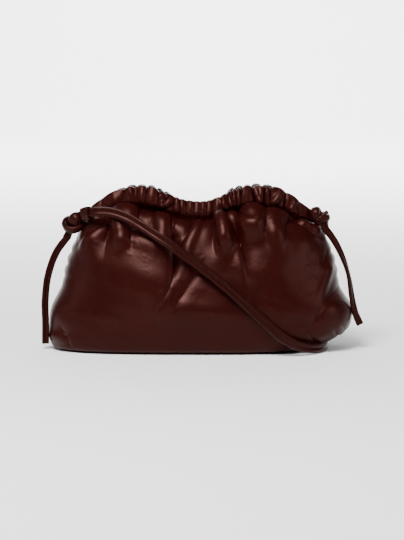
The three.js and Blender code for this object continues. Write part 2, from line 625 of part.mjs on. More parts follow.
function loopOnStrap(name, strap, share) {
  const loop = piece(name, loopGeometry());
  const { tangent, normal, binormal } = strap.frameAt(share);
  const turn = new THREE.Matrix4().makeBasis(normal, binormal, tangent);
  loop.quaternion.setFromRotationMatrix(turn);
  loop.position.copy(strap.getPointAt(share));
}

piece("front_panel", panelGeometry(FRONT, FRONT_GRID));
piece("back_panel", panelGeometry(BACK, BACK_GRID));
piece("front_casing", casingGeometry(FRONT, FRONT_PLEATS, FRONT_CASING_GRID));
piece("back_casing", casingGeometry(BACK, backPleats, BACK_CASING_GRID));
piece("base_panel", baseGeometry());

const strap = new FlatPath(STRAP_ROUTE);
const towardsFront = new THREE.Vector3(0, -1, 0);
piece("strap", ribbonGeometry(strap, STRAP_THICK, STRAP_WIDTH, STRAP_STEPS));
loopOnStrap("left_loop", strap, LOOP_AT.left);
loopOnStrap("right_loop", strap, LOOP_AT.right);
for (const [side, route] of [["left", TAIL_LEFT_ROUTE], ["right", TAIL_RIGHT_ROUTE]]) {
  const tail = new FlatPath(route, towardsFront);
  piece(`${side}_tail`, ribbonGeometry(tail, TAIL_THICK, TAIL_WIDTH, TAIL_STEPS));
  piece(`${side}_knot`, knotGeometry(KNOTS[side].size)).position.set(...KNOTS[side].at);
}

export default bag;
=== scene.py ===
"""Looks of a gathered leather pouch bag: panels, ruffled casing, base, strap and knots."""

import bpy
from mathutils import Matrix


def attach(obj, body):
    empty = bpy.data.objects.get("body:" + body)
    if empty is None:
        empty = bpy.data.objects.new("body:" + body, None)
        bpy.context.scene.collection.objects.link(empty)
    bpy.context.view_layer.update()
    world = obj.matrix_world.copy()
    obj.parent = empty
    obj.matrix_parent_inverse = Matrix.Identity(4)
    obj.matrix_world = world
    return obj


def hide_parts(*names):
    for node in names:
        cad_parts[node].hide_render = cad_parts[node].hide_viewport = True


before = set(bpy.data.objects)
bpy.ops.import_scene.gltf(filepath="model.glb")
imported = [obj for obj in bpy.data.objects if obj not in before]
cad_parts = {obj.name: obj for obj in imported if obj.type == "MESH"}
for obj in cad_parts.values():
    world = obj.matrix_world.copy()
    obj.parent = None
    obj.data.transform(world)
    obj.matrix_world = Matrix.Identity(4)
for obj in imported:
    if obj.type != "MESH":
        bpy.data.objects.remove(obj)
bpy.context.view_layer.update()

import math

import bmesh
import bpy
import numpy as np
from mathutils import Matrix, Vector

bl_info = {
    "name": "Gathered pouch bag",
    "version": (1, 0, 0),
    "blender": (4, 5, 0),
    "location": "View3D > Sidebar > Pouch bag",
    "description": "Builds the soft pieces and the stage of a gathered leather pouch bag",
    "category": "Object",
}

MM = 0.001
TURN = 2 * math.pi
GOLDEN = 0.618034

# Sizes in millimetres. First the body and the walls of its leather.
HALF_WIDTH = 138.0
HALF_DEPTH = 56.0
TALL = 155.0
LIP_HALF_DEPTH = 12.0
LEATHER = 1.8
CASING_WALL = 3.0
# How far ruffles, side puckers and the casing's middle stand out, and from pucker to pucker.
PLEAT_DEPTH = 5.0
PUCKER_DEPTH = 1.4
PUCKER_PITCH = 11.0
CASING_BULGE = 2.5
# How deep the leather's unevenness and its fine creases are.
SLACK_DEPTH = 0.55
CRINKLE_DEPTH = 0.28
# How far the crests of the folds and of the ruffles roll over.
ROLL = 1.7
CASING_ROLL = 0.8
# The gap between front and back, a panel's height over the floor, how far the casing sits inside
# the seam, and the room round the strap in its loops.
GAP = 0.35
FOOT = 0.5
SEAT = 1.0
LOOP_CLEARANCE = 0.15
# How much lower the back lip is where the mouth dips.
DIP_SINK = 2.6
# Half of a stitch: its length, width and height.
STITCH = (1.1, 0.36, 0.3)

# Shares. Where the mouth dips, how much calmer the ruffles are there, and how far the dip goes.
DIP_MIDDLE = -0.03
DIP_CALM = 0.45
DIP_EDGE = (0.12, 0.26)
# How square the plan is that spaces the columns, and how softly puffs and ruffles meet.
PLAN_SQUARE = 2.6
PUFF_SOFT = 0.05
PLEAT_SOFT = 0.01
# How square the sections are of a knot's strand, a loop's way round the strap, and its leather.
STRAND_SQUARE = 2.4
LOOP_SQUARE = 5
LOOP_WALL_SQUARE = 3.2
# A puff fades over this many of its reaches, and its sides flatten by this power.
PUFF_FADE = 1.7
PUFF_FLATTENS = 2.5
# A fold runs out over this many of its widths. A valley is steeper, with a slightly round bottom.
FOLD_ENDS = 1.6
VALLEY_STEEP = 1.3
VALLEY_ROUND = 0.08
# No crest or valley moves over by more than this slope gives.
STEEPEST = 1.2
# The side seams calm the folds over this share of the way round, and pucker at these heights.
SEAM_ZONE = 0.12
PUCKER_START = (0.36, 0.44)
PUCKER_END = (0.56, 0.68)
# The lengths of the waves of unevenness, and how much finer the creases are. They come in patches,
# whose waves are finer too and start elsewhere, and which fade in between these two values.
SLACK_WAVES = (0.47, 0.37, 0.29, 0.21, 0.15, 0.11)
CRINKLE_FINER = 3.1
PATCH_FINER = 1.9
PATCH_SHIFT = 3
PATCH_EDGE = (-0.15, 0.5)
# The stretch of the casing's skin that goes over the lip, how far the ruffles draw its inside in,
# and how far they lift the lip.
LIP_START = 0.42
LIP_STRETCH = 0.16
PLEAT_INWARD = 1.1
PLEAT_LIFT = 0.6
# The loops' places along the strap, and half their height in thicknesses of the strap.
LOOP_AT = (("left", 0.014), ("right", 0.977))
LOOP_GRIP = 0.36
# The row of stitches: across the strap in widths, and off its middle in thicknesses.
STITCH_ACROSS = -0.34
STITCH_OUT = 0.27

# How finely the pieces are cut: columns and rows, and steps along cords and round the base. The
# inside of a wall has a row for every eighth outside.
FRONT_CUT = (460, 180)
BACK_CUT = (300, 120)
CASING_CUT = (700, 70)
BASE_CUT = 80
STRAP_STEPS = 900
TAIL_STEPS = 200
KNOT_STEPS = 70
CURVE_STEPS = 24
INSIDE_EVERY = 8
STITCH_BATCH = 20


def table(columns, *rows):
    """The rows as one array for each named column."""
    return {name: np.array([row[i] for row in rows], float) for i, name in enumerate(columns.split())}


# The tables hold shares: across in half widths, out in half depths, and up in heights. The solids
# have the same columns. This one gives the body's reach each way at several heights.
SECTIONS = table(
    "up rise left right front back square",
    (0, 0.012, 0.955, 0.72, 0.84, 0.86, 3.2),
    (0.05, 0.03, 0.995, 0.78, 0.92, 0.93, 3.1),
    (0.11, 0.09, 1.015, 0.88, 0.97, 0.98, 3),
    (0.2, 0.17, 1.015, 0.975, 1, 1.01, 2.9),
    (0.33, 0.33, 1, 1, 1.02, 1.04, 2.7),
    (0.47, 0.5, 0.93, 0.92, 0.98, 1, 2.5),
    (0.62, 0.69, 0.885, 0.885, 0.86, 0.88, 2.4),
    (0.76, 0.86, 0.83, 0.835, 0.69, 0.71, 2.3),
    (0.87, 0.985, 0.79, 0.795, 0.51, 0.52, 2.2),
    (0.94, 1.02, 0.775, 0.775, 0.39, 0.39, 2.1),
    (1, 1, 0.76, 0.76, 0.3, 0.3, 2),
)
# The seam under the casing and the lip above it, along the mouth.
NECK_LINE = table(
    "across seam lip",
    (-0.77, 0.76, 0.8),
    (-0.7, 0.755, 0.855),
    (-0.58, 0.78, 0.92),
    (-0.45, 0.795, 0.947),
    (-0.34, 0.785, 0.94),
    (-0.25, 0.765, 0.915),
    (-0.12, 0.74, 0.878),
    (0, 0.732, 0.868),
    (0.1, 0.745, 0.885),
    (0.22, 0.775, 0.93),
    (0.35, 0.79, 0.948),
    (0.5, 0.77, 0.937),
    (0.6, 0.735, 0.895),
    (0.7, 0.72, 0.83),
    (0.77, 0.745, 0.785),
)
# The puffs under the seam: from where to where, how much higher the seam goes, and how far they
# stand out and reach down.
FRONT_PUFFS = table(
    "from to rise out reach",
    (-0.8, -0.61, -0.02, 0.11, 0.22),
    (-0.575, -0.42, 0.01, 0.13, 0.13),
    (-0.415, -0.31, -0.02, 0.07, 0.06),
    (-0.31, -0.2, -0.012, 0.08, 0.09),
    (-0.2, 0.075, -0.02, 0.09, 0.16),
    (0.075, 0.235, 0.01, 0.14, 0.14),
    (0.245, 0.408, 0.011, 0.15, 0.12),
    (0.41, 0.54, 0.005, 0.12, 0.13),
    (0.54, 0.8, -0.02, 0.1, 0.12),
)
BACK_PUFFS = table(
    "from to rise out reach",
    (-0.8, -0.6, -0.02, 0.1, 0.2),
    (-0.6, -0.44, 0, 0.12, 0.14),
    (-0.44, -0.27, 0.01, 0.14, 0.18),
    (-0.27, -0.15, -0.01, 0.09, 0.1),
    (-0.15, 0.09, -0.02, 0.1, 0.2),
    (0.09, 0.22, 0, 0.1, 0.12),
    (0.22, 0.42, 0.012, 0.14, 0.17),
    (0.42, 0.58, 0, 0.11, 0.13),
    (0.58, 0.8, -0.02, 0.1, 0.2),
)
# The folds: from a place across and up to another, sideways bow, widths, lean to one side, and how
# far they stand out at both ends. Below 0 they are valleys.
FRONT_FOLDS = table(
    "u0 w0 u1 w1 bow wide0 wide1 lean out0 out1",
    (-0.645, 0.77, -0.79, 0.65, 0, 0.03, 0.045, 0, 0.09, 0.06),
    (-0.63, 0.73, -0.8, 0.61, 0, 0.02, 0.03, 0, -0.06, -0.03),
    (-0.6, 0.725, -0.78, 0.59, 0, 0.03, 0.045, 0, 0.07, 0.04),
    (-0.595, 0.79, -0.64, 0.62, -0.01, 0.022, 0.05, 0, -0.12, 0),
    (-0.545, 0.77, -0.525, 0.66, 0, 0.035, 0.045, 0, 0.07, 0.06),
    (-0.525, 0.66, -0.3, 0.635, -0.01, 0.05, 0.07, 0, 0.04, 0.07),
    (-0.47, 0.71, -0.46, 0.65, 0, 0.035, 0.035, 0, -0.09, -0.03),
    (-0.45, 0.5, -0.33, 0.45, 0, 0.22, 0.18, 0, 0.09, 0.1),
    (-0.19, 0.67, -0.285, 0.26, -0.045, 0.03, 0.04, -0.6, -0.17, -0.02),
    (-0.15, 0.59, -0.17, 0.44, 0, 0.04, 0.04, 0, -0.08, -0.02),
    (-0.1, 0.58, -0.27, 0.26, 0, 0.03, 0.04, 0, 0.03, 0.05),
    (-0.03, 0.48, -0.19, 0.25, 0, 0.03, 0.035, 0, -0.05, -0.02),
    (-0.12, 0.26, 0.12, 0.25, 0, 0.08, 0.09, 0, 0.07, 0.06),
    (-0.24, 0.74, -0.19, 0.69, 0, 0.07, 0.07, 0, 0.05, 0.05),
    (-0.05, 0.76, -0.12, 0.63, 0, 0.025, 0.03, 0, -0.06, -0.02),
    (0, 0.755, -0.09, 0.63, 0, 0.022, 0.03, 0, 0.05, 0.03),
    (0.06, 0.7, 0.06, 0.55, 0, 0.06, 0.06, 0, 0.04, 0.02),
    (0.095, 0.8, 0.125, 0.65, 0.01, 0.02, 0.025, 0.3, -0.1, -0.05),
    (0.14, 0.79, 0.155, 0.675, 0, 0.045, 0.04, 0, 0.08, 0.09),
    (0.16, 0.79, 0.295, 0.3, -0.05, 0.03, 0.05, 0, -0.17, -0.02),
    (0.135, 0.64, 0.14, 0.48, 0, 0.04, 0.05, 0, 0.04, 0),
    (0.23, 0.65, 0.31, 0.3, 0, 0.03, 0.035, 0, 0.05, 0.02),
    (0.28, 0.79, 0.31, 0.77, 0, 0.03, 0.03, 0, -0.08, -0.08),
    (0.28, 0.735, 0.345, 0.745, -0.01, 0.025, 0.025, 0, 0.03, 0.03),
    (0.36, 0.73, 0.62, 0.62, 0, 0.06, 0.08, 0, 0.08, 0.05),
    (0.5, 0.48, 0.6, 0.38, 0, 0.2, 0.2, 0, 0.08, 0.07),
    (0.54, 0.775, 0.66, 0.73, -0.01, 0.018, 0.018, 0, 0.07, 0.06),
    (0.66, 0.725, 0.8, 0.69, 0, 0.018, 0.02, 0, 0.06, 0.03),
    (0.55, 0.75, 0.8, 0.65, 0, 0.02, 0.025, 0, -0.06, -0.03),
    (0.838, 0.6, 0.8, 0.52, 0, 0.02, 0.02, 0, -0.02, -0.02),
    (0.84, 0.48, 0.78, 0.37, 0, 0.03, 0.03, 0, 0.05, 0.03),
    (0.93, 0.375, 0.7, 0.17, 0.02, 0.03, 0.045, 0.4, -0.05, -0.03),
    (0.86, 0.22, 0.9, 0.2, 0, 0.11, 0.1, 0, 0.05, 0.05),
    (0.905, 0.08, 0.87, 0.125, 0, 0.014, 0.014, 0, -0.035, -0.02),
    (0.955, 0.115, 0.915, 0.15, 0, 0.014, 0.014, 0, -0.035, -0.02),
    (0.935, 0.13, 0.985, 0.19, 0.01, 0.015, 0.015, 0, -0.03, -0.02),
    (0.63, 0.2, 0.65, 0.19, 0, 0.035, 0.03, 0, -0.03, -0.03),
    (0.71, 0.11, 0.72, 0.1, 0, 0.03, 0.03, 0, -0.03, -0.03),
    (-0.97, 0.08, -0.91, 0.085, 0, 0.03, 0.03, 0, 0.03, 0.03),
    (-0.91, 0.13, -0.87, 0.06, -0.01, 0.02, 0.02, 0, -0.025, -0.02),
)
BACK_FOLDS = table(
    "u0 w0 u1 w1 bow wide0 wide1 lean out0 out1",
    (-0.62, 0.76, -0.76, 0.5, 0.02, 0.025, 0.05, 0.2, -0.1, -0.03),
    (-0.68, 0.72, -0.84, 0.52, 0, 0.04, 0.07, 0, 0.07, 0.021),
    (-0.44, 0.78, -0.5, 0.42, 0.02, 0.025, 0.05, 0, -0.13, -0.039),
    (-0.36, 0.7, -0.36, 0.4, 0, 0.07, 0.12, 0, 0.1, 0.03),
    (-0.26, 0.79, -0.2, 0.3, -0.02, 0.025, 0.05, -0.2, -0.14, -0.042),
    (-0.05, 0.68, 0, 0.4, 0, 0.08, 0.14, 0, 0.08, 0.024),
    (0.1, 0.78, 0.06, 0.55, 0, 0.025, 0.04, 0.2, -0.1, -0.03),
    (0.22, 0.78, 0.3, 0.36, 0.03, 0.025, 0.05, 0.2, -0.15, -0.045),
    (0.38, 0.66, 0.5, 0.42, 0, 0.08, 0.14, 0, 0.1, 0.03),
    (0.43, 0.79, 0.5, 0.62, 0, 0.025, 0.04, 0, -0.1, -0.03),
    (0.6, 0.76, 0.76, 0.46, -0.02, 0.025, 0.05, -0.2, -0.11, -0.033),
    (0.7, 0.72, 0.85, 0.5, 0, 0.04, 0.07, 0, 0.07, 0.021),
    (-0.95, 0.3, -0.62, 0.14, 0.03, 0.03, 0.05, 0.3, -0.08, -0.024),
    (-0.25, 0.22, 0.3, 0.2, 0.03, 0.08, 0.1, 0, 0.07, 0.021),
)
# Where two ruffles part at the seam and at the lip, and how far the one after that stands out.
FRONT_PLEATS = table(
    "foot tip out",
    (-0.8, -0.8, 0.35),
    (-0.66, -0.66, 0.5),
    (-0.535, -0.505, 0.6),
    (-0.45, -0.44, 0.6),
    (-0.405, -0.42, 0.95),
    (-0.394, -0.357, 1),
    (-0.3, -0.278, 0.8),
    (-0.275, -0.235, 0.9),
    (-0.2, -0.175, 0.8),
    (-0.148, -0.144, 0.6),
    (-0.1, -0.1, 0.55),
    (-0.05, -0.05, 0.5),
    (-0.01, -0.01, 0.5),
    (0.035, 0.035, 0.5),
    (0.07, 0.07, 0.9),
    (0.16, 0.125, 0.8),
    (0.2, 0.165, 0.85),
    (0.226, 0.2, 0.85),
    (0.235, 0.23, 0.8),
    (0.25, 0.262, 1),
    (0.36, 0.335, 0.8),
    (0.4, 0.415, 0.85),
    (0.44, 0.452, 0.9),
    (0.53, 0.555, 0.6),
    (0.63, 0.65, 0.35),
    (0.8, 0.8, 0),
)
# For the back: where its ruffles part at the lip, how much wider that is at the seam, and how far
# the least of them stands out.
BACK_PARTINGS = (
    -0.8, -0.66, -0.58, -0.5, -0.43, -0.36, -0.298, -0.248, -0.2, -0.15, -0.1, -0.05, 0, 0.05,
    0.11, 0.165, 0.22, 0.275, 0.33, 0.4, 0.48, 0.56, 0.65, 0.8,
)
BACK_SPREAD = 1.04
BACK_LEAST = 0.7
# The creases that show on the front casing, in the columns of the folds above.
CASING_FOLDS = table(
    "u0 w0 u1 w1 bow wide0 wide1 lean out0 out1",
    (-0.472, 0.931, -0.452, 0.895, 0, 0.01, 0.01, 0, 0.022, 0.014),
    (-0.434, 0.945, -0.439, 0.908, 0, 0.009, 0.009, 0, 0.018, 0.014),
    (-0.272, 0.897, -0.234, 0.895, 0, 0.012, 0.012, 0, 0.031, 0.031),
    (-0.234, 0.895, -0.254, 0.856, 0, 0.01, 0.01, 0, 0.031, 0.031),
    (-0.252, 0.849, -0.171, 0.901, 0.005, 0.013, 0.013, 0, 0.034, 0.026),
    (-0.244, 0.874, -0.193, 0.897, 0, 0.01, 0.01, 0, -0.026, -0.022),
    (-0.274, 0.865, -0.244, 0.915, 0, 0.012, 0.012, 0, -0.026, -0.022),
    (-0.28, 0.821, -0.193, 0.846, 0, 0.014, 0.014, 0, -0.045, -0.022),
    (-0.156, 0.892, -0.163, 0.823, 0, 0.012, 0.012, 0, 0.022, 0.014),
    (-0.143, 0.878, -0.145, 0.805, 0, 0.007, 0.007, 0, -0.026, -0.018),
    (-0.128, 0.869, -0.125, 0.842, 0, 0.01, 0.01, 0, 0.015, 0.014),
    (-0.072, 0.865, -0.069, 0.833, 0, 0.012, 0.012, 0, 0.015, 0.011),
    (0.009, 0.865, 0.012, 0.833, 0, 0.009, 0.009, 0, 0.015, 0.011),
    (-0.102, 0.874, -0.107, 0.833, 0, 0.009, 0.009, 0, -0.015, -0.011),
    (-0.047, 0.869, -0.047, 0.828, 0, 0.009, 0.009, 0, -0.014, -0.009),
    (0.029, 0.874, 0.029, 0.823, 0, 0.009, 0.009, 0, -0.015, -0.011),
    (-0.497, 0.938, -0.515, 0.892, 0, 0.01, 0.01, 0, -0.015, -0.011),
    (-0.523, 0.929, -0.573, 0.878, 0, 0.022, 0.022, 0, 0.011, 0.009),
    (-0.624, 0.856, -0.614, 0.837, 0, 0.014, 0.014, 0, 0.009, 0.006),
    (-0.583, 0.897, -0.568, 0.869, 0, 0.019, 0.019, 0, 0.011, 0.006),
    (0.071, 0.872, 0.072, 0.774, 0, 0.01, 0.01, 0, -0.036, -0.04),
    (0.102, 0.851, 0.093, 0.789, 0, 0.014, 0.014, 0, 0.014, 0.009),
    (0.131, 0.895, 0.139, 0.862, 0, 0.012, 0.012, 0, 0.026, 0.026),
    (0.139, 0.862, 0.205, 0.805, 0, 0.013, 0.013, 0, 0.026, 0.02),
    (0.147, 0.89, 0.176, 0.851, 0, 0.01, 0.01, 0, -0.026, -0.022),
    (0.165, 0.901, 0.194, 0.857, 0, 0.01, 0.01, 0, 0.026, 0.026),
    (0.179, 0.908, 0.206, 0.867, 0, 0.009, 0.009, 0, -0.026, -0.022),
    (0.194, 0.914, 0.222, 0.851, 0, 0.01, 0.01, 0, 0.026, 0.022),
    (0.214, 0.921, 0.231, 0.862, 0, 0.01, 0.01, 0, -0.036, -0.04),
    (0.229, 0.862, 0.231, 0.8, 0, 0.013, 0.013, 0, -0.049, -0.054),
    (0.231, 0.916, 0.246, 0.857, 0, 0.01, 0.01, 0, 0.025, 0.022),
    (0.254, 0.914, 0.258, 0.857, 0, 0.009, 0.009, 0, -0.031, -0.026),
    (0.278, 0.937, 0.257, 0.841, 0, 0.013, 0.013, 0, 0.026, 0.022),
    (0.337, 0.919, 0.368, 0.846, 0, 0.014, 0.014, 0, -0.045, -0.045),
    (0.368, 0.846, 0.405, 0.8, 0, 0.013, 0.013, 0, -0.045, -0.031),
    (0.331, 0.95, 0.385, 0.875, -0.004, 0.012, 0.012, 0, 0.029, 0.026),
    (0.388, 0.875, 0.402, 0.945, 0, 0.012, 0.012, 0, 0.026, 0.022),
    (0.416, 0.945, 0.414, 0.836, 0, 0.009, 0.009, 0, -0.031, -0.026),
    (0.432, 0.934, 0.433, 0.851, 0, 0.01, 0.01, 0, 0.022, 0.018),
    (0.54, 0.914, 0.451, 0.851, 0, 0.016, 0.014, 0, 0.036, 0.031),
    (0.48, 0.841, 0.508, 0.867, 0, 0.012, 0.012, 0, -0.04, -0.036),
    (0.502, 0.914, 0.451, 0.888, 0, 0.019, 0.019, 0, -0.018, -0.015),
    (0.44, 0.921, 0.471, 0.937, 0, 0.012, 0.012, 0, 0.018, 0.014),
    (0.553, 0.911, 0.545, 0.857, 0, 0.009, 0.01, 0, -0.022, -0.031),
    (0.545, 0.857, 0.528, 0.784, 0, 0.013, 0.013, 0, -0.036, -0.054),
    (0.61, 0.872, 0.62, 0.851, 0, 0.013, 0.013, 0, 0.02, 0.018),
    (0.62, 0.851, 0.594, 0.818, 0, 0.013, 0.013, 0, 0.015, 0.014),
    (0.594, 0.857, 0.571, 0.81, 0, 0.016, 0.016, 0, -0.018, -0.014),
)
# The ways of the cords, in millimetres.
STRAP_ROUTE = (
    (-111.5, -17.5, 121.5),
    (-104, -26.5, 125),
    (-96, -31.5, 127),
    (-86, -34, 127.5),
    (-76, -37, 126),
    (-66, -40.5, 122.5),
    (-54, -44, 116),
    (-40, -51, 107.5),
    (-26, -54.5, 98.5),
    (-12, -56, 88.5),
    (2, -58, 78.5),
    (16, -60, 67.5),
    (30, -61, 55.5),
    (44, -61.5, 42.5),
    (58, -61.5, 29.5),
    (72, -60.5, 17.5),
    (87, -55, 9),
    (100, -46, 5.5),
    (109, -35, 5),
    (113.5, -22, 5),
    (114.5, -4, 5),
    (113.5, 16, 5),
    (109, 36, 5),
    (99, 54, 5),
    (82, 66, 5),
    (60, 72, 5),
    (34, 74, 5),
    (6, 74.5, 5),
    (-22, 75.5, 5),
    (-44, 76.2, 5),
    (-60, 77.2, 5),
    (-69.5, 81.2, 5),
    (-73.5, 90.7, 5),
    (-69.5, 100.2, 5),
    (-60, 104.2, 5),
    (-44, 105, 5),
    (-18, 104.5, 5),
    (14, 103, 5.5),
    (46, 97, 10),
    (74, 85, 26),
    (94, 66, 50),
    (105, 47, 76),
    (112, 31, 98),
    (114.5, 20, 109.2),
    (113.8, 11, 115.4),
    (112.4, 3.5, 119.6),
    (110.2, -5.5, 120.8),
)
TAIL_LEFT_ROUTE = (
    (-120.9, -14, 104.2),
    (-132, -15.5, 89),
    (-139.5, -18.5, 68),
    (-142.5, -18.5, 44),
    (-142.3, -18, 26),
    (-142.6, -17.5, 5.2),
)
TAIL_RIGHT_ROUTE = (
    (110.9, -11.2, 112.6),
    (119.5, -13.5, 101.5),
    (126, -15, 90),
    (131, -16.5, 78),
    (134.4, -18.5, 66),
    (136.8, -19, 50),
    (139.8, -19, 35),
    (144.8, -18.5, 23),
)
# How a strand thins: places along it from 0 to 1, and its share of the full size there.
EVEN = ((0, 1), (1, 1))
INTO_TAIL = ((0, 0.85, 1), (1, 0.95, 0.6))
# The strands of each knot: a route in millimetres, the point that their flat sides turn away
# from, width and thickness, and how they thin. The last one runs into the tail.
KNOT_STRANDS = {
    "left": (
        (
            (
                (-108.2, -18, 119.6),
                (-111, -20.5, 121.2),
                (-114.2, -22, 121),
                (-116, -20.6, 116.8),
                (-115.6, -16, 111.5),
            ),
            (-112.6, -10, 113.6),
            (10.4, 6.8),
            ((0, 0.25, 1), (0.85, 1, 1.1)),
        ),
        (
            (
                (-113, -9.5, 117),
                (-117.6, -10, 118),
                (-122, -12.5, 117.6),
                (-124.2, -17.5, 114.6),
                (-121.6, -22.2, 111.2),
                (-116, -24, 110),
                (-110.6, -21.8, 111.8),
                (-108, -16.5, 114.4),
                (-109.5, -11, 116),
                (-113, -9.5, 117),
            ),
            (-116, -15.5, 118.4),
            (8, 4.8),
            EVEN,
        ),
        (
            (
                (-120.2, -13.6, 114),
                (-120.2, -13.8, 109.5),
                (-121.2, -14, 105),
                (-124.6, -14.4, 100.4),
            ),
            (-118, 30, 110),
            (7.2, 4.4),
            INTO_TAIL,
        ),
    ),
    "right": (
        (
            (
                (107, -10.5, 113.5),
                (104.8, -12.6, 118.5),
                (103, -12.8, 124.6),
                (104, -8.8, 127.2),
                (106.6, -5.5, 123.6),
                (109, -4.5, 120.5),
            ),
            (106.6, -6, 120.6),
            (9.2, 6),
            ((0, 0.35, 1), (0.65, 1, 0.9)),
        ),
        (
            (
                (111.2, -2.5, 120.4),
                (114.8, -6.5, 120.4),
                (113.6, -12, 120),
                (109, -14, 119.4),
                (104.4, -12.4, 118.8),
            ),
            (109, -6.5, 120),
            (6.4, 5),
            EVEN,
        ),
        (
            ((106, -12, 121.4), (110.4, -13.4, 123.4), (114.8, -12.6, 125.8)),
            (111, 20, 96),
            (3.6, 2),
            EVEN,
        ),
        (
            (
                (110.8, -10.6, 118.5),
                (111.6, -11, 114.4),
                (113.4, -11.7, 109.6),
                (116.6, -12.7, 105.2),
            ),
            (112, 30, 112),
            (7.2, 4.4),
            INTO_TAIL,
        ),
    ),
}
# The tails' routes, and how far they turn from facing the front along their way, in degrees.
TAILS = {
    "left": (TAIL_LEFT_ROUTE, (0, 10, 20, 10, 0)),
    "right": (TAIL_RIGHT_ROUTE, (5, 40, 68, 45, 10)),
}
NECK = {name: column[-1] for name, column in SECTIONS.items()}


def ease(a, b, x):
    """A smooth step from 0 at a to 1 at b."""
    s = np.clip((x - a) / (b - a), 0, 1)
    return s * s * (3 - 2 * s)


def mix(a, b, s):
    """From a to b by a share."""
    return a + (b - a) * s


def follow(rows, key, column, at):
    """A column at places between its rows, on a smooth curve through them."""
    x, y = rows[key], rows[column]
    at = np.clip(at, x[0], x[-1])
    i = np.clip(np.searchsorted(x, at, side="right") - 1, 0, len(x) - 2)
    low = np.maximum(np.arange(len(x)) - 1, 0)
    high = np.minimum(np.arange(len(x)) + 1, len(x) - 1)
    slope = (y[high] - y[low]) / (x[high] - x[low])
    h = x[i + 1] - x[i]
    s = (at - x[i]) / h
    s2, s3 = s * s, s * s * s
    start = (2 * s3 - 3 * s2 + 1) * y[i] + (s3 - 2 * s2 + s) * h * slope[i]
    return start + (3 * s2 - 2 * s3) * y[i + 1] + (s3 - s2) * h * slope[i + 1]


def rounded_section(angle, square):
    """A point of a rounded section at an angle from its right end round the front."""
    c, s = np.cos(angle), np.sin(angle)
    size = (np.abs(c) ** square + np.abs(s) ** square) ** (1 / square)
    return c / size, s / size


def angle_at(way):
    """The angle at a share of the way round, so that columns lie evenly on the leather."""
    angle = np.linspace(math.pi, 0, 361)
    x, y = rounded_section(angle, PLAN_SQUARE)
    step = np.hypot(np.diff(x * HALF_WIDTH), np.diff(y * HALF_DEPTH))
    length = np.concatenate([[0], np.cumsum(step)])
    return np.interp(way, length / length[-1], angle)


def plump(f, soft=0.0):
    """A rounded profile: 1 in the middle, and steep, or soft, where it meets its neighbour."""
    full = np.sqrt(np.maximum(0, 1 + soft - f * f)) - math.sqrt(soft)
    return np.maximum(0, full) / (math.sqrt(1 + soft) - math.sqrt(soft))


def puff_values(puffs, u):
    """The rise, standing-out, reach and fullness of the puff at each place."""
    rise, out, full = np.zeros_like(u), np.zeros_like(u), np.zeros_like(u)
    reach = np.ones_like(u)
    for a, b, r, o, down in zip(*(puffs[k] for k in ("from", "to", "rise", "out", "reach"))):
        f = 2 * (u - a) / (b - a) - 1
        inside = np.abs(f) <= 1
        full[inside] = plump(f[inside], PUFF_SOFT)
        rise[inside], out[inside], reach[inside] = r, o, down
    return rise, out, reach, full


# Heights in half widths, so that a fold's length and width are measured alike both ways.
SHARE_RATIO = TALL / HALF_WIDTH


def fold_relief(folds, u, w):
    """How far the folds stand out, as shares of the half depth. Valleys are sharp and ridges round."""
    total = np.zeros_like(u)
    for u0, w0, u1, w1, bow, wide0, wide1, lean, out0, out1 in zip(*folds.values()):
        dx, dz = u1 - u0, (w1 - w0) * SHARE_RATIO
        length = math.hypot(dx, dz)
        px, pz = u - u0, (w - w0) * SHARE_RATIO
        along = (px * dx + pz * dz) / length**2
        within = np.clip(along, 0, 1)
        beyond = (along - within) * length
        across = (px * dz - pz * dx) / length - bow * 4 * within * (1 - within)
        stated = mix(wide0, wide1, within)
        wide = stated * (1 + lean * np.sign(across))
        ends = np.exp(-((beyond / (FOLD_ENDS * stated)) ** 2))
        far = (across / wide) ** 2
        if out0 < 0:
            far = VALLEY_STEEP * (np.sqrt(far + VALLEY_ROUND) - math.sqrt(VALLEY_ROUND))
        total += mix(out0, out1, within) * np.exp(-far) * ends
    return total


# The two faces: which way they look, their own tables, and how deep their side puckers are.
FRONT = {"side": -1, "depth": "front", "folds": FRONT_FOLDS, "puffs": FRONT_PUFFS, "pucker": 0.5}
BACK = {"side": 1, "depth": "back", "folds": BACK_FOLDS, "puffs": BACK_PUFFS, "pucker": 1}


def smooth_points(face, way, up):
    """The body's surface before its folds."""
    side = face["side"]
    row = {name: follow(SECTIONS, "up", name, up) for name in SECTIONS}
    sx, sy = rounded_section(angle_at(way), row["square"])
    across = -side * sx
    x = across * HALF_WIDTH * np.where(across < 0, row["left"], row["right"])
    u = x / HALF_WIDTH
    seam = follow(NECK_LINE, "across", "seam", u)
    middle = follow(NECK_LINE, "across", "seam", np.zeros(1))
    # Each puff lifts the leather just under the seam.
    rise, _, _, full = puff_values(face["puffs"], -side * u)
    lift = rise * full * ease(0.7, 0.92, up) * (1 - ease(0.94, 1, up))
    z = TALL * (row["rise"] * mix(middle, seam, ease(0.1, 0.9, up)) + lift)
    return np.stack([x, side * sy * HALF_DEPTH * row[face["depth"]], z], -1)


def wander(across, up):
    """A gentle unevenness from waves that cross each other, between -1 and 1."""
    total = np.zeros_like(across)
    for k, length in enumerate(SLACK_WAVES):
        angle = TURN * GOLDEN * (k + 1)
        start = 7 * angle
        total += np.sin(TURN * (across * math.cos(angle) + up * math.sin(angle)) / length + start)
    return total / len(SLACK_WAVES)


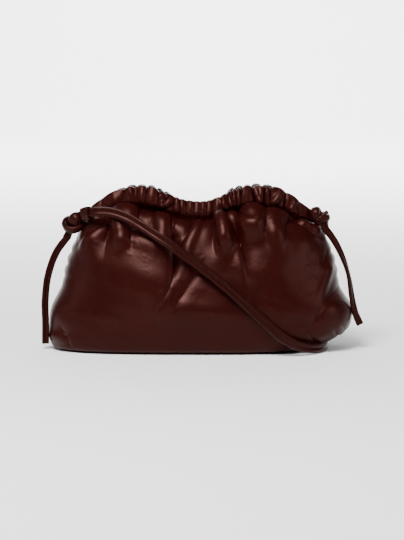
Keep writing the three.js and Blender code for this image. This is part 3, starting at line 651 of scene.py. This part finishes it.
def panel_relief(face, way, up, points):
    """How far the leather stands out of the smooth surface, in millimetres."""
    u = points[..., 0] / HALF_WIDTH * -face["side"]
    w = points[..., 2] / TALL
    _, out, reach, full = puff_values(face["puffs"], u)
    top = follow(NECK_LINE, "across", "seam", points[..., 0] / HALF_WIDTH)
    # A puff's sides are steep at the seam and flatten out below it.
    down = (top - w) / reach
    puffed = out * full ** (1 + PUFF_FLATTENS * ease(0.1, 1, down)) * (1 - ease(0.01, PUFF_FADE, down))
    near = 1 - ease(0, SEAM_ZONE, np.minimum(way, 1 - way))
    pucker = np.abs(np.sin(math.pi * points[..., 2] / PUCKER_PITCH)) * near
    pucker = pucker * ease(*PUCKER_START, w) * (1 - ease(*PUCKER_END, w)) * face["pucker"]
    folds = (fold_relief(face["folds"], u, w) + puffed) * (1 - near)
    slack = SLACK_DEPTH * wander(u, w * SHARE_RATIO)
    # Fine creases between small soft pillows, here and there.
    patches = ease(*PATCH_EDGE, wander(PATCH_FINER * u + PATCH_SHIFT, PATCH_FINER * w))
    fine = np.abs(wander(CRINKLE_FINER * u, CRINKLE_FINER * w * SHARE_RATIO))
    slack = slack + CRINKLE_DEPTH * fine * patches
    relief = HALF_DEPTH * folds + PUCKER_DEPTH * pucker + slack * (1 - near)
    # The relief ends at the seam above and at the base below.
    return relief * (1 - ease(0.93, 1, up)) * ease(0, 0.08, up)


def grid_frame(grid):
    """Steps along both ways of a grid of points, and its outward normals."""
    right, above = np.gradient(grid, axis=0), np.gradient(grid, axis=1)
    normal = np.cross(right, above)
    return right, above, normal / np.linalg.norm(normal, axis=-1, keepdims=True)


def blur(values, times):
    """The values, evened out a little over a grid."""
    for _ in range(times):
        for axis in (0, 1):
            wider = np.pad(values, [(1, 1) if k == axis else (0, 0) for k in (0, 1)], mode="edge")
            n = values.shape[axis]
            before, after = wider.take(range(n), axis), wider.take(range(2, n + 2), axis)
            values = 0.5 * values + 0.25 * (before + after)
    return values


def plumped(grid, relief, roll):
    """The grid raised by its relief, with the crests widened and the valleys drawn together."""
    right, above, normal = grid_frame(grid)
    soft = blur(relief, 2)
    shift = 0
    for axis, step in ((0, right), (1, above)):
        size = np.linalg.norm(step, axis=-1)
        slope = np.gradient(soft, axis=axis) / np.maximum(size, 1e-6)
        slope = np.clip(slope, -STEEPEST, STEEPEST) / np.maximum(size, 1e-6)
        shift = shift - roll * slope[..., None] * step
    return grid + normal * relief[..., None] + shift


def way_grid(columns, rows):
    """Shares of the two ways over a skin, for each point of its grid."""
    return np.meshgrid(np.linspace(0, 1, columns + 1), np.linspace(0, 1, rows + 1), indexing="ij")


def panel_grid(face, columns, rows, roll):
    """The outer skin of the front or the back, from its foot up to the seam."""
    way, share = way_grid(columns, rows)
    # Rows lie closer together towards the seam, where the leather is gathered.
    up = share * (1.25 - 0.25 * share)
    smooth = smooth_points(face, way, up)
    edge = np.minimum(ease(0, 0.05, np.minimum(way, 1 - way)), ease(0, 0.05, up))[..., None]
    relief = panel_relief(face, way, up, smooth)
    raised = smooth + grid_frame(smooth)[2] * relief[..., None]
    grid = mix(raised, plumped(smooth, relief, roll), edge)
    side = face["side"]
    grid[[0, -1], :, 1] = side * GAP / 2
    grid[..., 1] = side * np.maximum(grid[..., 1] * side, GAP / 2)
    grid[..., 2] = np.maximum(grid[..., 2], FOOT)
    return grid


def pleat_relief(pleats, u, rise):
    """How full the ruffles are at each place, from 0 between two to 1 on a full one."""
    most = np.zeros_like(u)
    feet, tips = pleats["foot"], pleats["tip"]
    for i, out in enumerate(pleats["out"][:-1]):
        start, end = mix(feet[i], tips[i], rise), mix(feet[i + 1], tips[i + 1], rise)
        most = np.maximum(most, out * plump((2 * u - start - end) / (end - start), PLEAT_SOFT))
    return most


def back_pleats():
    """The ruffles of the back casing, as seen from behind."""
    rows = [(-BACK_PARTINGS[0] * BACK_SPREAD, -BACK_PARTINGS[0], 0)]
    for i, (parting, tip) in enumerate(zip(BACK_PARTINGS, BACK_PARTINGS[1:])):
        # Towards the ends of the mouth the casing is nearly smooth.
        smooth_end = ease(0.4, 0.6, 0.5 * abs(tip + parting))
        out = mix(BACK_LEAST, 1, (i + 1) * GOLDEN % 1) * (1 - 0.75 * smooth_end)
        rows.append((-tip * BACK_SPREAD, -tip, out))
    return table("foot tip out", *reversed(rows))


def casing_grid(face, pleats, folds, columns, rows, roll):
    """The casing's skin, up its outside, over the lip and down its inside."""
    way, turn = way_grid(columns, rows)
    side = face["side"]
    sx, sy = rounded_section(angle_at(way), 2)
    x = -side * sx * (HALF_WIDTH * NECK["left"] - SEAT)
    u = x / HALF_WIDTH
    seam = follow(NECK_LINE, "across", "seam", u) - LEATHER / TALL
    lip = follow(NECK_LINE, "across", "lip", u)
    # In the dip of the mouth the ruffles are calmer, and the back hides behind the front.
    dip = 1 - ease(*DIP_EDGE, np.abs(u - DIP_MIDDLE))
    if face is BACK:
        lip = lip - DIP_SINK / TALL * dip
    rise = np.sin(0.5 * math.pi * (1 - np.abs(2 * turn - 1)))
    full = pleat_relief(pleats, -side * u, rise) * (1 - DIP_CALM * dip)
    in_ends = ease(0, 0.08, np.minimum(way, 1 - way))
    swell = ease(0.22, 0.65, rise) * mix(1, 0.7, ease(0.75, 1, rise))
    lean = mix(HALF_DEPTH * NECK[face["depth"]] - SEAT, LIP_HALF_DEPTH, ease(0, 1, rise)) * sy
    bulge = CASING_BULGE * np.sin(math.pi * rise) * ease(0.22, 0.6, rise)
    # Across the lip the wall's half thickness swings from the outside to the inside.
    half = 0.5 * CASING_WALL
    across = np.cos(math.pi * np.clip((turn - LIP_START) / LIP_STRETCH, 0, 1)) * half
    y = side * (lean - half + across + bulge * in_ends)
    z = TALL * mix(seam, lip, rise)
    outside = ease(0.6, 0.4, turn)
    creases = HALF_DEPTH * fold_relief(folds, -side * u, z / TALL) if folds else 0
    inward = PLEAT_INWARD * ease(0.45, 0.95, rise) * (1 - outside)
    relief = (PLEAT_DEPTH * full * (swell * mix(0.5, 1, outside) - inward) + creases * outside) * in_ends
    z = z + PLEAT_DEPTH * PLEAT_LIFT * full * ease(0.6, 1, rise) * in_ends
    smooth = np.stack([x, y, z], -1)
    grid = smooth.copy()
    grid[..., 1] += side * relief
    normal = grid_frame(smooth)[2]
    grid = grid + (plumped(smooth, relief, roll) - smooth - normal * relief[..., None])
    grid[..., 1] = side * np.maximum(grid[..., 1] * side, GAP / 2)
    return grid


def walled(outer):
    """The outer skin with its wall's inside added, turned over at the top edge."""
    normal = grid_frame(outer)[2]
    inner = outer - normal * LEATHER
    inner[:, -1] = outer[:, -1] - [0, 0, LEATHER]
    side = np.sign(outer[:, outer.shape[1] // 2, 1].sum())
    inner[..., 1] = side * np.maximum(inner[..., 1] * side, GAP / 2)
    inner[..., 2] = np.maximum(inner[..., 2], FOOT)
    back = inner[:, ::-1]
    last = back.shape[1] - 1
    keep = np.unique(np.concatenate([[0, 1, 2], np.arange(4, last, INSIDE_EVERY), [last]]))
    return np.concatenate([outer, back[:, keep]], 1)


def grid_mesh(name, grid, seam=False):
    """A mesh whose grid of faces lies on a grid of points. With a seam, points that meet are one."""
    columns, rows = grid.shape[0] - 1, grid.shape[1] - 1
    bm = bmesh.new()
    bmesh.ops.create_grid(bm, x_segments=columns, y_segments=rows, size=1)
    mesh = bpy.data.meshes.new(name)
    bm.to_mesh(mesh)
    bm.free()
    place = np.empty(len(mesh.vertices) * 3)
    mesh.vertices.foreach_get("co", place)
    place = place.reshape(-1, 3)
    i = np.rint((place[:, 0] + 1) / 2 * columns).astype(int)
    j = np.rint((place[:, 1] + 1) / 2 * rows).astype(int)
    mesh.vertices.foreach_set("co", (grid[i, j] * MM).ravel())
    mesh.update()
    if seam:
        bm = bmesh.new()
        bm.from_mesh(mesh)
        bmesh.ops.remove_doubles(bm, verts=bm.verts, dist=1e-6)
        bmesh.ops.recalc_face_normals(bm, faces=bm.faces)
        bm.to_mesh(mesh)
        bm.free()
    return mesh


def joined(name, meshes):
    """One mesh of several."""
    bm = bmesh.new()
    for mesh in meshes:
        bm.from_mesh(mesh)
        bpy.data.meshes.remove(mesh)
    whole = bpy.data.meshes.new(name)
    bm.to_mesh(whole)
    bm.free()
    return whole


def show(name, mesh, material, slot, *nodes):
    """An object of the mesh, smooth, in its material and in place of its solids."""
    mesh.shade_smooth()
    obj = bpy.data.objects.new(name, mesh)
    bpy.context.scene.collection.objects.link(obj)
    mesh.materials.append(material)
    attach(obj, "root")
    if nodes:
        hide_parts(*nodes)
    return obj


def linear(hex_colour):
    """An sRGB hex colour as linear RGBA."""
    parts = [int(hex_colour[i : i + 2], 16) / 255 for i in (0, 2, 4)]
    return [p / 12.92 if p <= 0.04045 else ((p + 0.055) / 1.055) ** 2.4 for p in parts] + [1]


# The patterns of the leather in millimetres: patches of dye, creasing, pores, and their depth.
DYE_PATCH = 35.714
CREASING = 4.0
PORE = 1.1
GRAIN_DEPTH = 0.12
# How much of the depth is creasing, the roughness from rubbed to dull, and the sheen of dyed
# leather and of matt things, with the warm colour of the former.
CREASING_SHARE = 0.7
RUBBED = 0.32
DULL = 0.42
LEATHER_SHEEN = 0.16
MATT_SHEEN = 0.05
SHEEN_TINT = "ffbcb0"
THREAD_ROUGHNESS = 0.6
FLOOR_ROUGHNESS = 0.9


class Nodes:
    """Adds nodes to a material, each fed by values or by the sockets of others."""

    def __init__(self, material):
        material.use_nodes = True
        self.tree = material.node_tree
        self.tree.nodes.clear()

    def add(self, kind, inputs=(), **settings):
        node = self.tree.nodes.new(kind)
        for key, value in settings.items():
            setattr(node, key, value)
        for key, value in dict(inputs).items():
            if isinstance(value, bpy.types.NodeSocket):
                self.tree.links.new(value, node.inputs[key])
            else:
                node.inputs[key].default_value = value
        return node


def nappa(name, deep, light, grain):
    """Smooth dyed calf leather: a soft sheen, a fine grain and a slightly uneven dye."""
    material = bpy.data.materials.new(name)
    n = Nodes(material)
    place = n.add("ShaderNodeTexCoord").outputs["Object"]
    # Patches of a few centimetres where the dye took a little more or less: the colour looks deep.
    dye = n.add("ShaderNodeTexNoise", {"Vector": place, "Scale": 1 / (DYE_PATCH * MM), "Detail": 3})
    colour = n.add(
        "ShaderNodeMix",
        {"Factor": dye.outputs["Fac"], 6: deep, 7: light},
        data_type="RGBA",
    )
    # Pores a millimetre apart and the slight creasing between them: they break the sheen up.
    pores = n.add("ShaderNodeTexVoronoi", {"Vector": place, "Scale": 1 / (PORE * MM)})
    creasing = n.add(
        "ShaderNodeTexNoise",
        {"Vector": place, "Scale": 1 / (CREASING * MM), "Detail": 4},
    )
    height = n.add(
        "ShaderNodeMath",
        {0: creasing.outputs["Fac"], 1: CREASING_SHARE, 2: pores.outputs["Distance"]},
        operation="MULTIPLY_ADD",
    )
    bump = n.add(
        "ShaderNodeBump",
        {"Height": height.outputs[0], "Strength": grain, "Distance": GRAIN_DEPTH * MM},
    )
    # Rubbed spots shine a little more than the rest.
    wear = n.add(
        "ShaderNodeMapRange",
        {"Value": creasing.outputs["Fac"], "To Min": RUBBED, "To Max": DULL},
    )
    shader = n.add(
        "ShaderNodeBsdfPrincipled",
        {
            "Base Color": colour.outputs[2],
            "Roughness": wear.outputs[0],
            "Specular IOR Level": LEATHER_SHEEN,
            "Specular Tint": linear(SHEEN_TINT),
            "Normal": bump.outputs[0],
        },
    )
    n.add("ShaderNodeOutputMaterial", {"Surface": shader.outputs[0]})
    return material


def body_nappa(name, leather):
    """The leather of the body, which a group of pieces shares."""
    return nappa(name, leather.body_deep, leather.body_light, leather.body_grain)


def strap_nappa(name, leather):
    """The leather of the strap, folded or knotted."""
    return nappa(name, leather.strap_deep, leather.strap_light, leather.strap_grain)


def plain(name, colour, roughness):
    """An even matt surface: waxed thread, or the painted floor of the studio."""
    material = bpy.data.materials.new(name)
    n = Nodes(material)
    look = {"Base Color": colour, "Roughness": roughness, "Specular IOR Level": MATT_SHEEN}
    shader = n.add("ShaderNodeBsdfPrincipled", look)
    n.add("ShaderNodeOutputMaterial", {"Surface": shader.outputs[0]})
    return material


def build_panels(leather):
    """The front and the back, each with its wall's inside."""
    body = body_nappa("oxblood_nappa", leather)
    for name, face, cut in (("front", FRONT, FRONT_CUT), ("back", BACK, BACK_CUT)):
        outer = panel_grid(face, *cut, ROLL)
        mesh = grid_mesh(name, walled(outer))
        show(f"{name}_panel_leather", mesh, body, "leather", f"{name}_panel")


def build_casing(leather):
    """The ruffled casings along the mouth."""
    body = body_nappa("casing_nappa", leather)
    rows = (("front", FRONT, FRONT_PLEATS, CASING_FOLDS), ("back", BACK, back_pleats(), None))
    for name, face, pleats, folds in rows:
        skin = grid_mesh(name, casing_grid(face, pleats, folds, *CASING_CUT, CASING_ROLL))
        show(f"{name}_casing_leather", skin, body, "leather", f"{name}_casing")


def build_base(leather):
    """The flat bottom, with its lower edge rounded off."""
    body = body_nappa("base_nappa", leather)
    way = np.linspace(0, 1, BASE_CUT, endpoint=False)
    rim = np.concatenate([smooth_points(f, way, np.zeros_like(way)) for f in (FRONT, BACK)])
    rim *= [1 - 2 * GAP / HALF_WIDTH, 1 - 2 * GAP / HALF_DEPTH, 0]
    # From its middle on the floor outwards, up its edge and back in: shares and millimetres.
    steps = ((0, 0), (0.985, 0), (0.996, 0.3), (1, 0.8), (1, 2), (0, 2))
    grid = np.array([[p * [share, share, 0] + [0, 0, z] for share, z in steps] for p in rim])
    mesh = grid_mesh("base", np.concatenate([grid, grid[:1]]), seam=True)
    show("base_leather", mesh, body, "leather", "base_panel")


def rail(route, steps, facing=None):
    """Points, tangents, normals, binormals and the length of the smooth curve through a route.

    The flat side faces sideways, or where a function of the points says.
    """
    p = np.array(route, float)
    knots = np.concatenate([[0], np.cumsum(np.linalg.norm(np.diff(p, axis=0), axis=1) ** 0.5)])
    before, after = 2 * p[0] - p[1], 2 * p[-1] - p[-2]
    p = np.vstack([before, p, after])
    knots = np.concatenate([[2 * knots[0] - knots[1]], knots, [2 * knots[-1] - knots[-2]]])
    line = []
    for i in range(1, len(p) - 2):
        t0, t1, t2, t3 = knots[i - 1 : i + 3]
        t = np.linspace(t1, t2, CURVE_STEPS, endpoint=False)[:, None]
        a1 = (t1 - t) / (t1 - t0) * p[i - 1] + (t - t0) / (t1 - t0) * p[i]
        a2 = (t2 - t) / (t2 - t1) * p[i] + (t - t1) / (t2 - t1) * p[i + 1]
        a3 = (t3 - t) / (t3 - t2) * p[i + 1] + (t - t2) / (t3 - t2) * p[i + 2]
        b1 = (t2 - t) / (t2 - t0) * a1 + (t - t0) / (t2 - t0) * a2
        b2 = (t3 - t) / (t3 - t1) * a2 + (t - t1) / (t3 - t1) * a3
        line.append((t2 - t) / (t2 - t1) * b1 + (t - t1) / (t2 - t1) * b2)
    line = np.vstack(line + [p[-2:-1]])
    length = np.concatenate([[0], np.cumsum(np.linalg.norm(np.diff(line, axis=0), axis=1))])
    at = np.linspace(0, length[-1], steps + 1)
    points = np.stack([np.interp(at, length, line[:, k]) for k in range(3)], -1)
    tangent = np.gradient(points, axis=0)
    tangent /= np.linalg.norm(tangent, axis=1, keepdims=True)
    if facing is None:
        normal = np.stack([tangent[:, 1], -tangent[:, 0], 0 * tangent[:, 0]], -1)
    else:
        normal = facing(points)
    normal -= (normal * tangent).sum(1, keepdims=True) * tangent
    normal /= np.linalg.norm(normal, axis=1, keepdims=True)
    return points, tangent, normal, np.cross(tangent, normal), length[-1]


def folded_section(wide, thick):
    """Folded leather: a round core along one edge and a stitched flange along the other."""
    core, flange = 0.49 * thick, 0.26 * thick
    middle = 0.5 * wide - core
    start = math.acos(flange / core)
    turn = np.linspace(-start, math.pi + start, 17)
    round_part = np.stack([core * np.cos(turn), middle + core * np.sin(turn)], -1)
    edge = 0.5 * wide
    flat = [(-flange, -0.2 * edge), (-flange, -0.6 * edge), (-0.92 * flange, -0.94 * edge)]
    flat += [(-0.4 * flange, -edge), (0.4 * flange, -edge), (0.92 * flange, -0.94 * edge)]
    flat += [(flange, -0.6 * edge), (flange, -0.2 * edge)]
    return np.vstack([round_part, flat])


def oval_section(wide, thick):
    """The section of a knot's strand, slightly squared."""
    c, s = rounded_section(np.linspace(0, TURN, 20, endpoint=False), STRAND_SQUARE)
    return np.stack([c * thick / 2, s * wide / 2], -1)


def swept(rails, section, taper):
    """A grid of points round a section, all along a rail, closed at its ends."""
    points, _, normal, binormal = rails[:4]
    section = np.vstack([section, section[:1]])
    size = np.interp(np.linspace(0, 1, len(points)), *taper)
    around = normal[:, None] * section[None, :, :1] + binormal[:, None] * section[None, :, 1:]
    grid = points[:, None] + around * size[:, None, None]
    ends = [np.repeat(points[k][None, None], len(section), 1) for k in (0, -1)]
    return np.concatenate([ends[0], grid, ends[1]]).transpose(1, 0, 2)


def strip_mesh(name, rails, section, taper=EVEN):
    """A strip of leather along a rail."""
    return grid_mesh(name, swept(rails, section, taper), seam=True)


def stitches(name, rails, wide, thick, pitch):
    """Short stitches in a row along the flange of a strap, on both faces."""
    points, tangent, normal, binormal, length = rails
    across, out = STITCH_ACROSS * wide, STITCH_OUT * thick
    places = np.linspace(2, len(points) - 3, int(length / pitch)).round().astype(int)
    runs = []
    # A few at a time, as a shape added to a large mesh takes long.
    for run in np.array_split(places, max(1, len(places) // STITCH_BATCH)):
        bm = bmesh.new()
        for k in run:
            turn = Matrix((tangent[k], binormal[k], normal[k])).transposed()
            for face in (-1, 1):
                matrix = (turn @ Matrix.Diagonal(STITCH).to_3x3()).to_4x4()
                matrix.translation = (points[k] + binormal[k] * across + normal[k] * out * face) * MM
                bmesh.ops.create_uvsphere(bm, u_segments=6, v_segments=4, radius=MM, matrix=matrix)
        runs.append(bpy.data.meshes.new(name))
        bm.to_mesh(runs[-1])
        bm.free()
    return joined(name, runs)


def loop_mesh(name, rails, share, strap):
    """A loop of leather round the strap, with softly rounded edges."""
    points, tangent, normal, binormal, _ = rails
    k = round(share * (len(points) - 1))
    c, s = rounded_section(np.linspace(0, TURN, 49), LOOP_SQUARE)
    a, b = rounded_section(np.linspace(0, TURN, 21), LOOP_WALL_SQUARE)
    reach_n = LOOP_GRIP * strap.thickness / MM + LOOP_CLEARANCE + LEATHER / 2
    reach_b = strap.width / MM / 2 + LOOP_CLEARANCE + LEATHER / 2
    middle = c[:, None] * reach_n * normal[k] + s[:, None] * reach_b * binormal[k]
    outward = middle / np.linalg.norm(middle, axis=1, keepdims=True)
    grid = points[k] + middle[:, None] + outward[:, None] * (a * LEATHER / 2)[None, :, None]
    grid = grid + (tangent[k] * strap.loop_length / MM / 2) * b[None, :, None]
    return grid_mesh(name, grid, seam=True)


def build_strap(leather, strap):
    """The long strap, its stitches and the two loops that hold it."""
    hide = strap_nappa("folded_strap_leather", leather)
    thread = plain("waxed_thread", leather.thread, THREAD_ROUGHNESS)
    wide, thick = strap.width / MM, strap.thickness / MM
    rails = rail(STRAP_ROUTE, STRAP_STEPS)
    mesh = strip_mesh("strap", rails, folded_section(wide, thick))
    piece = show("strap_leather", mesh, hide, "strap_leather", "strap")
    row = stitches("strap_stitches", rails, wide, thick, strap.stitch_pitch / MM)
    seam = show("strap_stitches", row, thread, "strap_leather")
    for side, share in LOOP_AT:
        mesh = loop_mesh(side, rails, share, strap)
        show(f"{side}_loop_leather", mesh, hide, "strap_leather", f"{side}_loop")


def twisting(turns):
    """Faces the front at first, and turns from there by the degrees along the way."""

    def facing(points):
        share = np.linspace(0, 1, len(points))
        turn = np.radians(np.interp(share, np.linspace(0, 1, len(turns)), turns))
        return np.stack([np.sin(turn), -np.cos(turn), 0 * turn], -1)

    return facing


def knot_rails(route, middle):
    """A strap tied round a middle point, always showing its flat side outwards."""
    return rail(route, KNOT_STEPS, lambda points: points - np.array(middle, float))


def build_ends(leather, strap):
    """The knots and the tails that hang from them."""
    hide = strap_nappa("knotted_leather", leather)
    thread = plain("tail_thread", leather.thread, THREAD_ROUGHNESS)
    tail_wide, tail_thick = strap.tail_width / MM, strap.tail_thickness / MM
    for side in ("left", "right"):
        strands = [
            strip_mesh("strand", knot_rails(route, middle), oval_section(*girth), taper)
            for route, middle, girth, taper in KNOT_STRANDS[side]
        ]
        turns = joined("knot", strands)
        knot = show(f"{side}_knot_leather", turns, hide, "strap_leather", f"{side}_knot")
        route, twist = TAILS[side]
        line = rail(route, TAIL_STEPS, twisting(twist))
        mesh = strip_mesh("tail", line, folded_section(tail_wide, tail_thick))
        tail = show(f"{side}_tail_leather", mesh, hide, "strap_leather", f"{side}_tail")
        row = stitches("tail_stitches", line, tail_wide, tail_thick, strap.stitch_pitch / MM)
        seam = show(f"{side}_tail_stitches", row, thread, "strap_leather")


# Where the camera aims, and the lights' names, places, aims and sizes, all in metres. The lamp on
# the backdrop lights the wall alone. The powers are the user's.
CAMERA_AIM = (0.0005, 0, 0.0708)
BAG_MIDDLE = (0, 0, 0.08)
LIGHTS = (
    ("key_softbox", (-0.3, -0.75, 1.15), BAG_MIDDLE, 0.7),
    ("right_softbox", (1.1, -0.6, 0.5), BAG_MIDDLE, 0.7),
    ("left_softbox", (-1.2, -0.3, 0.5), BAG_MIDDLE, 0.7),
    ("backdrop_softbox", (0, 1.8, 4.2), (0, 5.9, 2.4), 3),
)
SENSOR_WIDTH = 36
SWEEP = {"front": -9.0, "bend": 4.5, "radius": 2.5, "top": 6.0, "half_width": 9.0}


def sweep_mesh():
    """A floor that curves up into a backdrop."""
    turn = np.linspace(0, math.pi / 2, 24)
    depth = np.concatenate([[SWEEP["front"]], SWEEP["bend"] + SWEEP["radius"] * np.sin(turn)])
    height = np.concatenate([[0], SWEEP["radius"] * (1 - np.cos(turn))])
    depth, height = np.append(depth, depth[-1]), np.append(height, SWEEP["top"])
    across = np.linspace(-1, 1, 3) * SWEEP["half_width"]
    grid = np.zeros((len(across), len(depth), 3))
    grid[..., 0], grid[..., 1], grid[..., 2] = across[:, None], depth, height
    mesh = grid_mesh("floor", grid / MM)
    mesh.shade_smooth()
    return mesh


def build_stage(stage):
    """A long lens a little above the bag's middle, a pale floor and soft light from above."""
    scene = bpy.context.scene
    camera = bpy.data.cameras.new("camera")
    camera.lens = stage.lens
    camera.sensor_width = SENSOR_WIDTH
    camera.sensor_fit = "HORIZONTAL"
    camera.dof.use_dof = False
    view = bpy.data.objects.new("camera", camera)
    scene.collection.objects.link(view)
    back = Vector((0, -math.cos(stage.elevation), math.sin(stage.elevation)))
    view.location = Vector(CAMERA_AIM) + back * stage.distance
    view.rotation_euler = (-back).to_track_quat("-Z", "Y").to_euler()
    scene.camera = view
    floor = bpy.data.objects.new("floor", sweep_mesh())
    floor.data.materials.append(plain("pale_floor", stage.floor_colour, FLOOR_ROUGHNESS))
    scene.collection.objects.link(floor)
    world = bpy.data.worlds.new("white_room")
    world.use_nodes = True
    room = world.node_tree.nodes["Background"].inputs
    room["Color"].default_value = (1, 1, 1, 1)
    room["Strength"].default_value = stage.room_light
    scene.world = world
    powers = (stage.key_power, stage.right_power, stage.left_power, stage.backdrop_power)
    for (name, place, aim, width), power in zip(LIGHTS, powers):
        light = bpy.data.lights.new(name, "AREA")
        light.shape = "DISK"
        light.size = width
        light.energy = power
        lamp = bpy.data.objects.new(name, light)
        lamp.location = place
        lamp.rotation_euler = (Vector(place) - Vector(aim)).to_track_quat("Z", "Y").to_euler()
        scene.collection.objects.link(lamp)


def dye_property(name, description, colour):
    """A colour that the user can change."""
    return bpy.props.FloatVectorProperty(
        name=name,
        description=description,
        default=linear(colour),
        subtype="COLOR",
        size=4,
        min=0,
        max=1,
    )


def share_property(name, description, value):
    """A share from 0 to 1."""
    return bpy.props.FloatProperty(
        name=name, description=description, default=value, min=0, max=1, subtype="FACTOR"
    )


def length_property(name, description, millimetres):
    """A length, given in millimetres and held in metres."""
    return bpy.props.FloatProperty(
        name=name, description=description, default=millimetres * MM, min=MM, unit="LENGTH"
    )


def power_property(name, description, watts):
    """The power of a lamp."""
    return bpy.props.FloatProperty(
        name=name, description=description, default=watts, min=0, unit="POWER"
    )


class PouchLeather(bpy.types.PropertyGroup):
    """Colours and grain of the leather."""

    body_deep: dye_property("Body, deep", "Dye of the body where it took most", "1b0302")
    body_light: dye_property("Body, light", "Dye of the body where it took least", "250504")
    body_grain: share_property("Body grain", "How deep the grain of the body looks", 0.32)
    strap_deep: dye_property("Strap, deep", "Dye of the strap where it took most", "170201")
    strap_light: dye_property("Strap, light", "Dye of the strap where it took least", "200504")
    strap_grain: share_property("Strap grain", "How deep the grain of the strap looks", 0.15)
    thread: dye_property("Thread", "Colour of the waxed thread", "1e0906")


class PouchStrap(bpy.types.PropertyGroup):
    """Sizes of the strap, its loops and its tails."""

    width: length_property("Width", "Width of the folded strap", 8.6)
    thickness: length_property("Thickness", "Thickness of the folded strap", 4.4)
    tail_width: length_property("Tail width", "Width of the two hanging ends", 6.6)
    tail_thickness: length_property("Tail thickness", "Thickness of the two hanging ends", 3.4)
    loop_length: length_property("Loop length", "Length of each loop along the strap", 9.5)
    stitch_pitch: length_property("Stitch pitch", "Distance from stitch to stitch", 3.2)


class PouchStage(bpy.types.PropertyGroup):
    """The camera, the floor and the lights."""

    lens: bpy.props.FloatProperty(
        name="Lens", description="Focal length", default=150, min=20, unit="CAMERA"
    )
    elevation: bpy.props.FloatProperty(
        name="Elevation",
        description="How far the camera looks down",
        default=math.radians(7),
        subtype="ANGLE",
    )
    distance: length_property("Distance", "From the camera to the middle of the bag", 1549)
    floor_colour: dye_property("Floor", "Colour of the floor and the backdrop", "f6f6f6")
    key_power: power_property("Key", "Power of the softbox above the front", 40)
    right_power: power_property("Right", "Power of the softbox at the right", 5)
    left_power: power_property("Left", "Power of the softbox at the left", 2)
    backdrop_power: power_property("Backdrop", "Power of the lamp on the backdrop", 1600)
    room_light: share_property("Room", "Even light from all round", 0.12)


class PouchBag(bpy.types.PropertyGroup):
    """All that can be changed about the bag and its stage."""

    leather: bpy.props.PointerProperty(type=PouchLeather)
    strap: bpy.props.PointerProperty(type=PouchStrap)
    stage: bpy.props.PointerProperty(type=PouchStage)


class POUCH_OT_stage(bpy.types.Operator):
    """Add the camera, the pale floor and the soft lights"""

    bl_idname = "pouch.stage"
    bl_label = "Stage"

    def execute(self, context):
        build_stage(context.scene.pouch_bag.stage)
        return {"FINISHED"}


class POUCH_OT_strap(bpy.types.Operator):
    """Add the long strap with its stitches and its two loops"""

    bl_idname = "pouch.strap"
    bl_label = "Strap and loops"

    def execute(self, context):
        bag = context.scene.pouch_bag
        build_strap(bag.leather, bag.strap)
        return {"FINISHED"}


class POUCH_OT_ends(bpy.types.Operator):
    """Add both knots and the tails that hang from them"""

    bl_idname = "pouch.ends"
    bl_label = "Knots and tails"

    def execute(self, context):
        bag = context.scene.pouch_bag
        build_ends(bag.leather, bag.strap)
        return {"FINISHED"}


class POUCH_OT_panels(bpy.types.Operator):
    """Add the puffed leather of the front and the back"""

    bl_idname = "pouch.panels"
    bl_label = "Front and back"

    def execute(self, context):
        build_panels(context.scene.pouch_bag.leather)
        return {"FINISHED"}


class POUCH_OT_casing(bpy.types.Operator):
    """Add the ruffled casings round the mouth"""

    bl_idname = "pouch.casing"
    bl_label = "Ruffled casings"

    def execute(self, context):
        build_casing(context.scene.pouch_bag.leather)
        return {"FINISHED"}


class POUCH_OT_base(bpy.types.Operator):
    """Add the flat bottom"""

    bl_idname = "pouch.base"
    bl_label = "Base"

    def execute(self, context):
        build_base(context.scene.pouch_bag.leather)
        return {"FINISHED"}


OPERATORS = (
    POUCH_OT_stage,
    POUCH_OT_strap,
    POUCH_OT_ends,
    POUCH_OT_panels,
    POUCH_OT_casing,
    POUCH_OT_base,
)


class POUCH_PT_bag(bpy.types.Panel):
    """Everything about the bag, in the sidebar"""

    bl_label = "Pouch bag"
    bl_space_type = "VIEW_3D"
    bl_region_type = "UI"
    bl_category = "Pouch bag"

    def draw(self, context):
        bag = context.scene.pouch_bag
        for group in (bag.leather, bag.strap, bag.stage):
            box = self.layout.box()
            for name in group.__annotations__:
                box.prop(group, name)
        for operator in OPERATORS:
            self.layout.operator(operator.bl_idname)


CLASSES = (PouchLeather, PouchStrap, PouchStage, PouchBag, *OPERATORS, POUCH_PT_bag)


def register():
    for kind in CLASSES:
        bpy.utils.register_class(kind)
    bpy.types.Scene.pouch_bag = bpy.props.PointerProperty(type=PouchBag)


def unregister():
    del bpy.types.Scene.pouch_bag
    for kind in reversed(CLASSES):
        bpy.utils.unregister_class(kind)


def main():
    """Build every piece."""
    register()
    bpy.ops.pouch.stage()
    bpy.ops.pouch.strap()
    bpy.ops.pouch.ends()
    bpy.ops.pouch.panels()
    bpy.ops.pouch.casing()
    bpy.ops.pouch.base()


if __name__ == "__main__":
    main()
